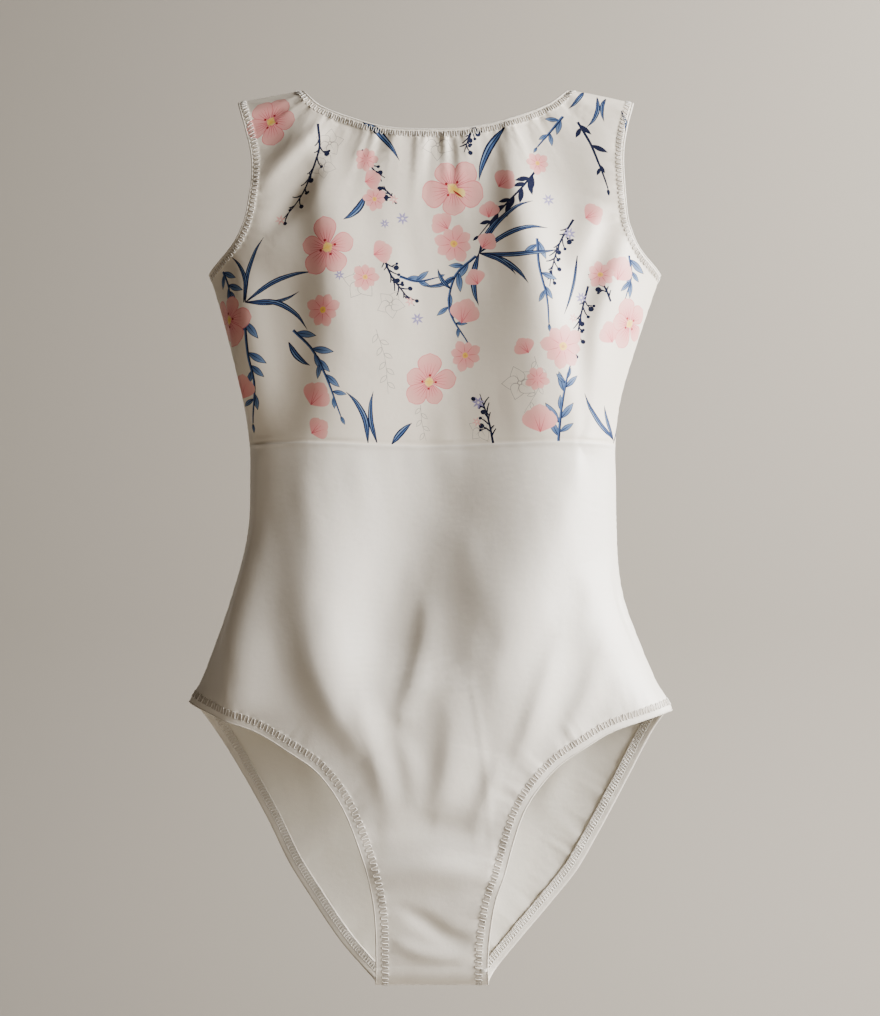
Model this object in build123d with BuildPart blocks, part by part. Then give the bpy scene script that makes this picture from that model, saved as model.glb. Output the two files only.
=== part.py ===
"""Sleeveless gymnastics leotard, hanging from its shoulders.

Frame: X to the viewer's right, the front faces -Y, Z up. The origin lies midway
between the two shoulders, at the height on which a hanger carries them.
"""
import os
from math import cos, radians, sin

from build123d import *

os.makedirs("parts", exist_ok=True)

# ---------------------------------------------------------------- dimensions (mm)
FABRIC = 0.9            # outer fabric
LINING = 0.6            # lining fabric
ELASTIC = 0.8           # elastic thickness
SEAM = 1.3              # overlocked seam allowance, two layers and thread
GAP = 0.2               # clearance between layers that lie on each other
HALF_GAP = 0.04         # front and back panels stop this far from the side plane

ELASTIC_WIDTH = 6.5     # neck and armholes
LEG_ELASTIC_WIDTH = 8.0
ALLOWANCE = 6.0         # width of a seam allowance

WAIST = -246.0          # height of the seam under the bust
CROTCH = -624.0         # lowest point of the garment
SHOULDER_IN = 93.0      # neck point of the shoulder
SHOULDER_OUT = 137.0    # outer point of the shoulder
SHOULDER_DROP = 8.0     # how far the shoulder slopes down outward
CROTCH_HALF = 41.0      # half width of the crotch strip

# half width of the hanging garment against height, above the armhole it runs on
HALF_WIDTH = (
    (-680, 172), (-433, 170), (-411, 159), (-384, 148.5), (-356, 138.5), (-328, 132), (-300, 128.5),
    (-272, 128), (-246, 128), (-215, 131), (-180, 141.5), (-152, 150), (-129, 158), (-60, 188), (20, 205),
)


def smooth(table, z):
    """Cubic curve through the (z, value) pairs of a table."""
    last = len(table) - 2
    i = 0
    while i < last and z > table[i + 1][0]:
        i += 1
    z0, v0 = table[i]
    z1, v1 = table[i + 1]
    before = table[max(i - 1, 0)]
    after = table[min(i + 2, last + 1)]
    slope0 = (v1 - before[1]) / (z1 - before[0])
    slope1 = (after[1] - v0) / (after[0] - z0)
    t = min(max((z - z0) / (z1 - z0), 0.0), 1.0)
    h = z1 - z0
    value = v0 * (1 - t) ** 2 * (1 + 2 * t) + v1 * t * t * (3 - 2 * t)
    return value + h * slope0 * t * (1 - t) ** 2 - h * slope1 * t * t * (1 - t)


# depth of the front and of the back at their middle against height
FRONT_DEPTH = (
    (-608, 17), (-565, 27), (-505, 36), (-430, 42), (-370, 40), (-300, 35), (-250, 36), (-205, 41),
    (-155, 44), (-105, 40), (-60, 31), (-15, 22),
)
BACK_DEPTH = (
    (-608, 17), (-565, 25), (-505, 33), (-430, 38), (-370, 37), (-300, 33), (-250, 32), (-205, 33),
    (-155, 34), (-105, 32), (-60, 28), (-15, 22),
)
# how far the panel has closed in to the side plane at its side, 1 where there is a side seam
CLOSURE = (
    (-608, 0.75), (-540, 0.8), (-470, 0.93), (-433, 1), (-400, 1), (-160, 1), (-129, 1), (-90, 0.92),
    (-60, 0.8), (-15, 0.75),
)
CAP_ROWS = 5            # rows of the surface where it turns over the hanger or round the crotch
BODY_ROWS = 18
COLUMNS = 8


def centre_line(depths):
    """Points (depth, z) from the shoulder's top down to the crotch."""
    top = depths[-1][0]
    low = depths[0][0]
    points = []
    for i in range(-1, CAP_ROWS):
        turn = radians(90 * i / CAP_ROWS)
        points.append((depths[-1][1] * sin(turn), top - top * cos(turn)))
    for i in range(BODY_ROWS + 1):
        z = top + (low - top) * i / BODY_ROWS
        points.append((smooth(depths, z), z))
    for i in range(CAP_ROWS - 1, -2, -1):
        turn = radians(90 * i / CAP_ROWS)
        points.append((depths[0][1] * sin(turn), low + (CROTCH - low) * cos(turn)))
    return points


def surface_point(centre, column):
    """Point of the outer surface, s runs from one side seam to the other."""
    depth, height = centre
    s = -1 + 2 * column / COLUMNS
    x = s * smooth(HALF_WIDTH, height)
    slope = SHOULDER_DROP / ((SHOULDER_OUT / SHOULDER_IN) ** 2 - 1)
    fade = min(max(1 + height / 110, 0), 1)
    z = height + slope * (1 - (x / SHOULDER_IN) ** 2) * fade * fade * (3 - 2 * fade)
    return Vector(x, depth * (1 - smooth(CLOSURE, height) * s * s), z)


def layer_face(side, inward):
    """The outer surface of the front (side -1) or back (side 1), moved inward."""
    centres = centre_line(FRONT_DEPTH if side < 0 else BACK_DEPTH)
    grid = []
    for row in range(1, len(centres) - 1):
        points = []
        for column in range(COLUMNS + 1):
            near = min(max(column, 0.5), COLUMNS - 0.5)
            down = surface_point(centres[row + 1], near) - surface_point(centres[row - 1], near)
            across = surface_point(centres[row], near + 0.1) - surface_point(centres[row], near - 0.1)
            outward = across.cross(down).normalized()
            moved = surface_point(centres[row], column) - outward * inward
            points.append((moved.X, side * moved.Y, moved.Z))
        grid.append(Wire([Edge.make_spline(points, parameters=[i / COLUMNS for i in range(COLUMNS + 1)])]))
    return Shell.make_loft(grid).faces()[0]


# ---------------------------------------------------------------- openings, front view
ARM_EDGE = (
    (137, 30), (137, -8), (131, -28), (127, -50), (127, -72), (131, -95), (141, -113), (158, -129), (180, -142),
)
FRONT_NECK = ((93, 40), (93, 0), (80, -13), (56, -23.5), (29, -29.5), (0, -31.5))
BACK_NECK = ((93, 40), (93, 0), (88, -32), (79, -78), (64, -125), (38, -168), (0, -186))
FRONT_LEG = (
    (200, -421), (168, -429), (144, -437), (122, -443.5), (101, -455), (83.5, -468), (70, -484), (60, -502),
    (52, -525), (46, -548), (42, -572), (CROTCH_HALF, -600), (CROTCH_HALF, -645),
)
BACK_LEG = (
    (186, -402), (168, -429), (152, -454), (136, -482), (119, -512), (100, -546), (80, -575), (60, -599),
    (47.5, -613), (CROTCH_HALF, -645),
)
BEYOND = 260            # the openings' faces run on past the cloth to here


def grown(points, amount):
    """The points of an edge moved sideways into the cloth."""
    moved = []
    last = len(points) - 1
    for i, (x, z) in enumerate(points):
        before = points[max(i - 1, 0)]
        after = points[min(i + 1, last)]
        along = Vector(after[0] - before[0], after[1] - before[1]).normalized()
        moved.append((x + along.Y * amount, z - along.X * amount))
    return moved


def neck_hole(points, grow=0):
    """Face above a neckline, both halves."""
    line = [*points, *[(-x, z) for x, z in reversed(points[:-1])]]
    line = grown(line, -grow)
    with BuildSketch() as hole:
        with BuildLine():
            Spline(*line)
            Line(line[-1], line[0])
        make_face()
    return hole.sketch


def side_hole(points, hand, grow=0):
    """Face beyond an armhole or a leg edge; hand is 1 at the wearer's left."""
    edge = [(hand * x, z) for x, z in grown(points, grow)]
    with BuildSketch() as hole:
        with BuildLine():
            Spline(*edge)
            Polyline(edge[-1], (hand * BEYOND, edge[-1][1] - 40), (hand * BEYOND, edge[0][1]), edge[0])
        make_face()
    return hole.sketch


def band(hole, points, *hand, far):
    """Strip of cloth that runs along an opening, as far as this from its edge."""
    with BuildSketch() as strip:
        add(hole(points, *hand, grow=far))
        add(hole(points, *hand), mode=Mode.SUBTRACT)
    return strip.sketch


def block(half, low, high, holes=(), start=0):
    """Area from low to high, out to half, less the openings given."""
    with BuildSketch() as area:
        with BuildLine():
            Polyline((start or -half, low), (half, low), (half, high), (start or -half, high), close=True)
        make_face()
        for hole in holes:
            add(hole, mode=Mode.SUBTRACT)
    return area.sketch


# ---------------------------------------------------------------- one layer of cloth
def layer(side, inward, thickness, area, gap=HALF_GAP, reach=200):
    """Sheet on the front (side -1) or back (side 1), cut to an area in front view."""
    plane = Plane.XZ.offset(-side * gap)
    with BuildPart() as sheet:
        thicken(layer_face(side, inward), amount=-side * thickness)
        with BuildSketch(plane):
            add(area)
        extrude(amount=-side * reach, mode=Mode.INTERSECT)
    return sheet.part


def loop(front_area, back_area):
    """The elastic round one opening: a front and a back length that meet at the seams."""
    with BuildPart() as ring:
        add(layer(-1, UNDER, ELASTIC, front_area))
        add(layer(1, UNDER, ELASTIC, back_area))
    return ring.part


def save(part, name):
    """Label a piece and write it."""
    part.label = name
    export_step(part, f"parts/{name}.step")


UNDER = FABRIC + GAP    # the layer that lies on the fabric's inside starts here
HANDS = (("left", 1), ("right", -1))

front_neck = neck_hole(FRONT_NECK)
back_neck = neck_hole(BACK_NECK)
arms = [side_hole(ARM_EDGE, hand) for label, hand in HANDS]
front_legs = [side_hole(FRONT_LEG, hand) for label, hand in HANDS]
back_legs = [side_hole(BACK_LEG, hand) for label, hand in HANDS]

# ---------------------------------------------------------------- outer panels
seam_line = HALF_GAP + 0.01
save(layer(-1, 0, FABRIC, block(240, WAIST + seam_line, 40, [front_neck, *arms])), "front_bodice")
save(layer(1, 0, FABRIC, block(240, WAIST + seam_line, 40, [back_neck, *arms])), "back_bodice")
save(layer(-1, 0, FABRIC, block(240, -660, WAIST - seam_line, front_legs)), "front_lower")
save(layer(1, 0, FABRIC, block(240, -660, WAIST - seam_line, back_legs)), "back_lower")

# ---------------------------------------------------------------- linings, inside the hems
clear = ELASTIC_WIDTH + 0.3
lined = [neck_hole(FRONT_NECK, clear), *[side_hole(ARM_EDGE, hand, clear) for label, hand in HANDS]]
save(layer(-1, UNDER, LINING, block(240, WAIST + ALLOWANCE + 0.5, 40, lined)), "front_lining")
clear = LEG_ELASTIC_WIDTH + 0.3
gusset = [side_hole(FRONT_LEG, hand, clear) for label, hand in HANDS]
save(layer(-1, UNDER, LINING, block(240, -660, -500, gusset)), "gusset_lining")

# ---------------------------------------------------------------- elastic inside the hems
neck = [band(neck_hole, points, far=ELASTIC_WIDTH) for points in (FRONT_NECK, BACK_NECK)]
save(loop(*neck), "neck_elastic")
for label, hand in HANDS:
    arm = band(side_hole, ARM_EDGE, hand, far=ELASTIC_WIDTH)
    save(loop(arm, arm), f"armhole_elastic_{label}")
    leg = [band(side_hole, points, hand, far=LEG_ELASTIC_WIDTH) for points in (FRONT_LEG, BACK_LEG)]
    save(loop(*leg), f"leg_elastic_{label}")

# ---------------------------------------------------------------- seam allowances, pressed to the back
SIDE_REACH = 3.2        # depth of the side seam allowance, measured front to back
BEND_GAP = 0.2          # more clearance where the cloth bends over the hanger or round the crotch
for label, hand in HANDS:
    strip = block(hand * (SHOULDER_OUT - 7), -30, 30, start=hand * (SHOULDER_IN + 7))
    save(layer(1, UNDER + BEND_GAP, SEAM, strip, reach=ALLOWANCE), f"shoulder_seam_{label}")
    strip = block(hand * BEYOND, WAIST + ALLOWANCE + 0.5, -138, start=hand * 100)
    save(layer(1, UNDER, SEAM, strip, reach=SIDE_REACH), f"side_seam_upper_{label}")
    strip = block(hand * BEYOND, -418, WAIST - 0.3, start=hand * 100)
    save(layer(1, UNDER, SEAM, strip, reach=SIDE_REACH), f"side_seam_lower_{label}")
waist = block(240, WAIST + seam_line, WAIST + ALLOWANCE)
save(layer(-1, UNDER, SEAM, waist), "waist_seam_front")
save(layer(1, UNDER, SEAM, waist), "waist_seam_back")
strip = block(CROTCH_HALF - LEG_ELASTIC_WIDTH - 0.5, -660, -600)
save(layer(1, UNDER + BEND_GAP, SEAM, strip, reach=ALLOWANCE), "crotch_seam")
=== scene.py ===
"""Looks of the hanging gymnastics leotard: cloth with folds, print, hems, stitches and seams.

Lengths are millimetres until the meshes are written, in the frame's axes: X to the wearer's
left, the front faces -Y, Z up, origin at the height that a hanger carries.
"""
import math

import bpy
import numpy as np
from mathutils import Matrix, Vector
from mathutils.geometry import delaunay_2d_cdt


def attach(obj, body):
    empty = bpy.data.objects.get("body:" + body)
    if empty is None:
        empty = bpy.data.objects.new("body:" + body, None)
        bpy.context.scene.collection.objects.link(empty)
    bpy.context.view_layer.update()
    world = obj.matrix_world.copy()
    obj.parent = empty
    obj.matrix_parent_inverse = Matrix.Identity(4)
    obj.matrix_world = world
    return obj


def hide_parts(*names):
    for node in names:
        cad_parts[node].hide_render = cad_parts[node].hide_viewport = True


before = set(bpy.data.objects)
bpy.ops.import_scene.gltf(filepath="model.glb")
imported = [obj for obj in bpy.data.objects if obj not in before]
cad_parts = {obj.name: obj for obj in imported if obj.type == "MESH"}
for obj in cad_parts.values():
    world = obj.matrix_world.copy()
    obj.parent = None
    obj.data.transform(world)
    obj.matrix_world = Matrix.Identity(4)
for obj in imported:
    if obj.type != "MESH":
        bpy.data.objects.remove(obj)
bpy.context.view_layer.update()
MM = 0.001
FRONT, BACK = -1, 1

# ================================================================= shape of the hanging garment
# half width and sideways shift of the tube of cloth against height
HALF_WIDTH = (
    (-680, 172), (-433, 170), (-411, 159), (-384, 148), (-356, 138), (-328, 131.5), (-300, 128.5),
    (-272, 128), (-246, 128), (-215, 132), (-180, 141.5), (-152, 150), (-129, 158), (-60, 188), (20, 205),
)
SHIFT = (
    (-640, -1), (-500, -2), (-430, -4), (-384, -5), (-350, -5), (-300, -1.5), (-215, -2), (-129, 0), (0, 0),
)
# depth from the side plane against height
DEPTH = {
    FRONT: ((-608, 17), (-565, 27), (-505, 36), (-430, 42), (-370, 40), (-300, 35), (-250, 36),
            (-205, 41), (-155, 44), (-105, 40), (-60, 31), (-15, 22)),
    BACK: ((-608, 17), (-565, 25), (-505, 33), (-430, 38), (-370, 37), (-300, 33), (-250, 32),
           (-205, 33), (-155, 34), (-105, 32), (-60, 28), (-15, 22)),
}
CROTCH = -624.0
SHOULDER_IN, SHOULDER_OUT, SHOULDER_DROP = 93.0, 137.0, 8.0
SHOULDER_FADE = 110.0  # below this depth the shoulder's slope is gone
SIDE_SEAM = (-436, -125)  # heights between which front and back meet at the side
FABRIC, LINING_DEPTH, LINING_THICKNESS = 0.7, 0.72, 0.3
OUTLINE_GAP = 2.2  # distance between an outline's points


def smooth(table, at):
    """Cubic curve through a table of (position, value), at one or many positions."""
    t = np.array(table, float)
    at = np.clip(np.asarray(at, float), t[0, 0], t[-1, 0])
    slope = np.empty(len(t))
    slope[1:-1] = (t[2:, 1] - t[:-2, 1]) / (t[2:, 0] - t[:-2, 0])
    slope[0] = (t[1, 1] - t[0, 1]) / (t[1, 0] - t[0, 0])
    slope[-1] = (t[-1, 1] - t[-2, 1]) / (t[-1, 0] - t[-2, 0])
    i = np.clip(np.searchsorted(t[:, 0], at) - 1, 0, len(t) - 2)
    h = t[i + 1, 0] - t[i, 0]
    f = (at - t[i, 0]) / h
    value = t[i, 1] * (1 - f) ** 2 * (1 + 2 * f) + t[i + 1, 1] * f * f * (3 - 2 * f)
    return value + h * slope[i] * f * (1 - f) ** 2 - h * slope[i + 1] * f * f * (1 - f)


def step(low, high, value):
    """Smooth ramp from 0 at low to 1 at high."""
    f = np.clip((value - low) / (high - low), 0, 1)
    return f * f * (3 - 2 * f)


def bell(value, middle, width):
    """Smooth bump of height 1 round a middle."""
    return np.exp(-((value - middle) / width) ** 2)


class Side:
    """Front or back of the tube, in fabric coordinates: s across, t = minus the length from the shoulder."""

    def __init__(self, side):
        self.side = side
        table = DEPTH[side]
        low, top = table[0][0], table[-1][0]
        turn = np.radians(np.linspace(0, 90, 24))
        body = np.linspace(top, low, 240)[1:-1]
        height = [top - top * np.cos(turn), body, low + (CROTCH - low) * np.cos(turn[::-1])]
        depth = [table[-1][1] * np.sin(turn), smooth(table, body), table[0][1] * np.sin(turn[::-1])]
        self.z = np.concatenate(height)
        self.d = np.concatenate(depth)
        run = np.hypot(np.diff(self.z), np.diff(self.d))
        self.v = np.concatenate([[0], np.cumsum(run)])
        self.length = self.v[-1]
        angle = np.radians(np.linspace(0, 90, 91))
        w = smooth(HALF_WIDTH, self.z)[:, None]
        across = np.hypot(w * np.cos(angle), self.d[:, None] * np.sin(angle))
        pieces = (across[:, 1:] + across[:, :-1]) / 2 * (angle[1] - angle[0])
        self.arc = np.concatenate([np.zeros((len(self.z), 1)), np.cumsum(pieces, axis=1)], axis=1)
        self.angle = angle

    def rows(self, t):
        """Table row, as a fraction, for a fabric coordinate t."""
        return np.interp(np.clip(-t, 0, self.length), self.v, np.arange(len(self.v)))

    def arcs(self, t):
        """Length across the cloth from its middle to each angle of the table, at fabric heights t."""
        row = self.rows(t)
        i = np.minimum(row.astype(int), len(self.v) - 2)
        f = (row - i)[:, None]
        return self.arc[i] * (1 - f) + self.arc[i + 1] * f

    def base(self, s, t):
        """Place of fabric point (s, t) on the smooth tube, before any fold."""
        s, t = np.asarray(s, float), np.asarray(t, float)
        row = self.rows(t)
        z0 = np.interp(row, np.arange(len(self.z)), self.z)
        d = np.interp(row, np.arange(len(self.z)), self.d)
        arcs = self.arcs(t)
        reach = np.minimum(np.abs(s), arcs[:, -1] - 1e-6)
        j = np.clip((arcs <= reach[:, None]).sum(axis=1) - 1, 0, len(self.angle) - 2)
        low = np.take_along_axis(arcs, j[:, None], 1)[:, 0]
        high = np.take_along_axis(arcs, j[:, None] + 1, 1)[:, 0]
        step_angle = self.angle[1] - self.angle[0]
        theta = np.sign(s) * (self.angle[j] + (reach - low) / (high - low) * step_angle)
        x = smooth(SHIFT, z0) + smooth(HALF_WIDTH, z0) * np.sin(theta)
        return np.stack([x, self.side * d * np.cos(theta), z0 + shoulder_slope(x, z0)], axis=1)

    def fabric(self, x, z):
        """Fabric coordinates of the point seen at (x, z)."""
        x, z = np.asarray(x, float), np.asarray(z, float)
        z0 = z.copy()
        for _ in range(12):
            z0 = z - shoulder_slope(x, z0)
        z0 = np.clip(z0, CROTCH, 0)
        v = np.interp(-z0, -self.z, self.v)
        sine = (x - smooth(SHIFT, z0)) / smooth(HALF_WIDTH, z0)
        theta = np.arcsin(np.clip(sine, -1, 1))
        arcs = self.arcs(-v)
        place = np.abs(theta) / (self.angle[1] - self.angle[0])
        i = np.minimum(place.astype(int), len(self.angle) - 2)
        low = np.take_along_axis(arcs, i[:, None], 1)[:, 0]
        high = np.take_along_axis(arcs, i[:, None] + 1, 1)[:, 0]
        return np.sign(theta) * (low + (high - low) * (place - i)), -v


def shoulder_slope(x, z0):
    """The cloth lies lower toward the shoulder's outer point."""
    slope = SHOULDER_DROP / ((SHOULDER_OUT / SHOULDER_IN) ** 2 - 1)
    fade = np.clip(1 + z0 / SHOULDER_FADE, 0, 1)
    return slope * (1 - (x / SHOULDER_IN) ** 2) * fade * fade * (3 - 2 * fade)


TUBE = {FRONT: Side(FRONT), BACK: Side(BACK)}


# ================================================================= outlines, front view (x, z)
def length_along(points):
    """Length along a line at each of its points."""
    return np.concatenate([[0], np.cumsum(np.hypot(*np.diff(points, axis=0).T))])


def curve(points, count=160):
    """Smooth curve through given points."""
    p = np.array(points, float)
    along = length_along(p)
    at = np.linspace(0, along[-1], count)
    return np.stack([smooth(list(zip(along, p[:, k])), at) for k in (0, 1)], axis=1)


def even(points, gap):
    """The same line with its points a steady distance apart."""
    run = length_along(points)
    count = max(int(round(run[-1] / gap)), 2)
    at = np.linspace(0, run[-1], count + 1)
    return np.stack([np.interp(at, run, points[:, 0]), np.interp(at, run, points[:, 1])], axis=1)


NECK = {
    FRONT: ((-93, 0), (-80, -13.5), (-55, -24), (-33, -30), (-4, -31.5), (25, -30), (53, -23.5), (80, -12),
            (94, 0)),
    BACK: ((-93, 0), (-88, -32), (-79, -78), (-64, -125), (-38, -168), (0, -186), (38, -168), (64, -125),
           (79, -78), (88, -32), (94, 0)),
}
ARM = {  # from the shoulder down to the side seam
    1: ((138, -9), (132, -28), (128.5, -46), (128, -62), (129.5, -79), (133, -97), (141, -113),
        (157.5, -129)),
    -1: ((-137, -8), (-131, -28), (-126.5, -46), (-125.5, -62), (-127.5, -79), (-131, -95), (-139.5, -111),
         (-158, -129)),
}
WAIST = ((-130, -247), (-88, -245.5), (-38, -248), (0, -249), (44, -247), (86, -245), (128, -247))
LEG = {
    (FRONT, -1): ((-171.5, -426), (-147, -435.5), (-123, -443.5), (-100.5, -456.5), (-82.5, -468.5),
                  (-70, -483), (-60, -501), (-51, -525), (-44.5, -548), (-41, -574), (-40.5, -606),
                  (-41, -624)),
    (FRONT, 1): ((163.5, -432), (140, -438), (121, -444), (103, -454), (85, -466), (69.5, -483),
                 (60.5, -498), (53.5, -519), (48, -540), (41.5, -560), (38, -582), (36.5, -603), (37, -624)),
    (BACK, -1): ((-171.5, -426), (-163.5, -436), (-149.5, -458), (-134.5, -484), (-119, -512.5),
                 (-104.5, -542), (-89, -566.5), (-67.5, -597), (-50, -616.5), (-41, -624)),
    (BACK, 1): ((163.5, -432), (155.5, -445), (148, -459.5), (138, -480), (124.5, -506.5), (112, -529.5),
                (100, -549.5), (81.5, -572), (64, -592), (50, -608), (37, -624)),
}


def to_fabric(side, line):
    """An outline in fabric coordinates, with even points."""
    s, t = TUBE[side].fabric(line[:, 0], line[:, 1])
    return even(np.stack([s, t], axis=1), OUTLINE_GAP)


EDGES = {}
for side in (FRONT, BACK):
    EDGES[side] = {
        "neck": to_fabric(side, curve(NECK[side], 400)),
        "waist": to_fabric(side, curve(WAIST)),
        "arm-1": to_fabric(side, curve(ARM[-1], 300)),
        "arm1": to_fabric(side, curve(ARM[1], 300)),
        "leg-1": to_fabric(side, curve(LEG[side, -1], 300)),
        "leg1": to_fabric(side, curve(LEG[side, 1], 300)),
    }
    tube = TUBE[side]
    for hand in (-1, 1):
        arm, leg = EDGES[side][f"arm{hand}"], EDGES[side][f"leg{hand}"]
        arm[0, 1] = 0.0
        leg[-1, 1] = -tube.length
        for corner in (arm[-1], leg[0]):
            corner[0] = hand * tube.arcs(corner[1:2])[0, -1]
    for end in (0, -1):
        corner = EDGES[side]["waist"][end]
        corner[0] = np.sign(corner[0]) * tube.arcs(corner[1:2])[0, -1]
        EDGES[side]["neck"][end, 1] = 0.0


def seam_run(side, hand, top, bottom):
    """The side seam from one fabric height down to another."""
    t = even(np.stack([np.zeros(200), np.linspace(top, bottom, 200)], axis=1), OUTLINE_GAP)[:, 1]
    return np.stack([hand * TUBE[side].arcs(t)[:, -1], t], axis=1)


def outline(side, part):
    """Closed outline of a panel in fabric coordinates, anticlockwise in front view."""
    e = EDGES[side]
    if part == "bodice":
        left = seam_run(side, -1, e["arm-1"][-1, 1], e["waist"][0, 1])
        right = seam_run(side, 1, e["arm1"][-1, 1], e["waist"][-1, 1])
        runs = [e["neck"][::-1], e["arm-1"], left, e["waist"], right[::-1], e["arm1"][::-1]]
    else:
        left = seam_run(side, -1, e["waist"][0, 1], e["leg-1"][0, 1])
        right = seam_run(side, 1, e["waist"][-1, 1], e["leg1"][0, 1])
        runs = [e["waist"][::-1], left, e["leg-1"], e["leg1"][::-1], right[::-1]]
    points = [runs[0][0]]
    wide, close = 3, 0.4  # a wider gap gets points of its own, a closer point is left out
    for run in runs:
        gap = []
        if np.hypot(*(points[-1] - run[0])) > wide:
            gap = even(np.array([points[-1], run[0]]), OUTLINE_GAP)[1:]
        for point in [*gap, *run]:
            if np.hypot(*(point - points[-1])) > close:
                points.append(point)
    if np.hypot(*(points[-1] - points[0])) > wide:
        points += list(even(np.array([points[-1], points[0]]), OUTLINE_GAP)[1:-1])
    return np.array(points[:-1] if np.hypot(*(points[-1] - points[0])) < close else points)


# ================================================================= folds
RANDOM = np.random.default_rng(11).uniform(-1, 1, 4096)


def wave(at, pitch, seed):
    """Smooth uneven wave along a line, between -1 and 1."""
    f = np.asarray(at) / pitch + seed * 37.3
    i = np.floor(f).astype(int)
    r = f - i
    r = r * r * (3 - 2 * r)
    return RANDOM[i % len(RANDOM)] * (1 - r) + RANDOM[(i + 1) % len(RANDOM)] * r


def nearest(line, s, t, reach=1e9):
    """Distance to a line and the length along it, for many points; past the reach they are just far."""
    a, b = line[:-1], line[1:]
    run = length_along(line)
    best = np.full(len(s), 1e9)
    along = np.zeros(len(s))
    batch = 12
    for k in range(0, len(a), batch):
        p, q = a[k:k + batch], b[k:k + batch]
        ends = np.concatenate([p, q])
        low, high = ends.min(axis=0) - reach, ends.max(axis=0) + reach
        here = np.flatnonzero((s >= low[0]) & (s <= high[0]) & (t >= low[1]) & (t <= high[1]))
        if not len(here):
            continue
        ps, pt = s[here, None] - p[:, 0], t[here, None] - p[:, 1]
        d = q - p
        f = np.clip((ps * d[:, 0] + pt * d[:, 1]) / np.maximum((d ** 2).sum(axis=1), 1e-9), 0, 1)
        gap = np.hypot(ps - f * d[:, 0], pt - f * d[:, 1])
        j = gap.argmin(axis=1)
        rows = np.arange(len(here))
        closer = gap[rows, j] < best[here]
        best[here[closer]] = gap[rows, j][closer]
        along[here[closer]] = (run[k + j] + f[rows, j] * np.hypot(*d[j].T))[closer]
    return best, along


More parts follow.
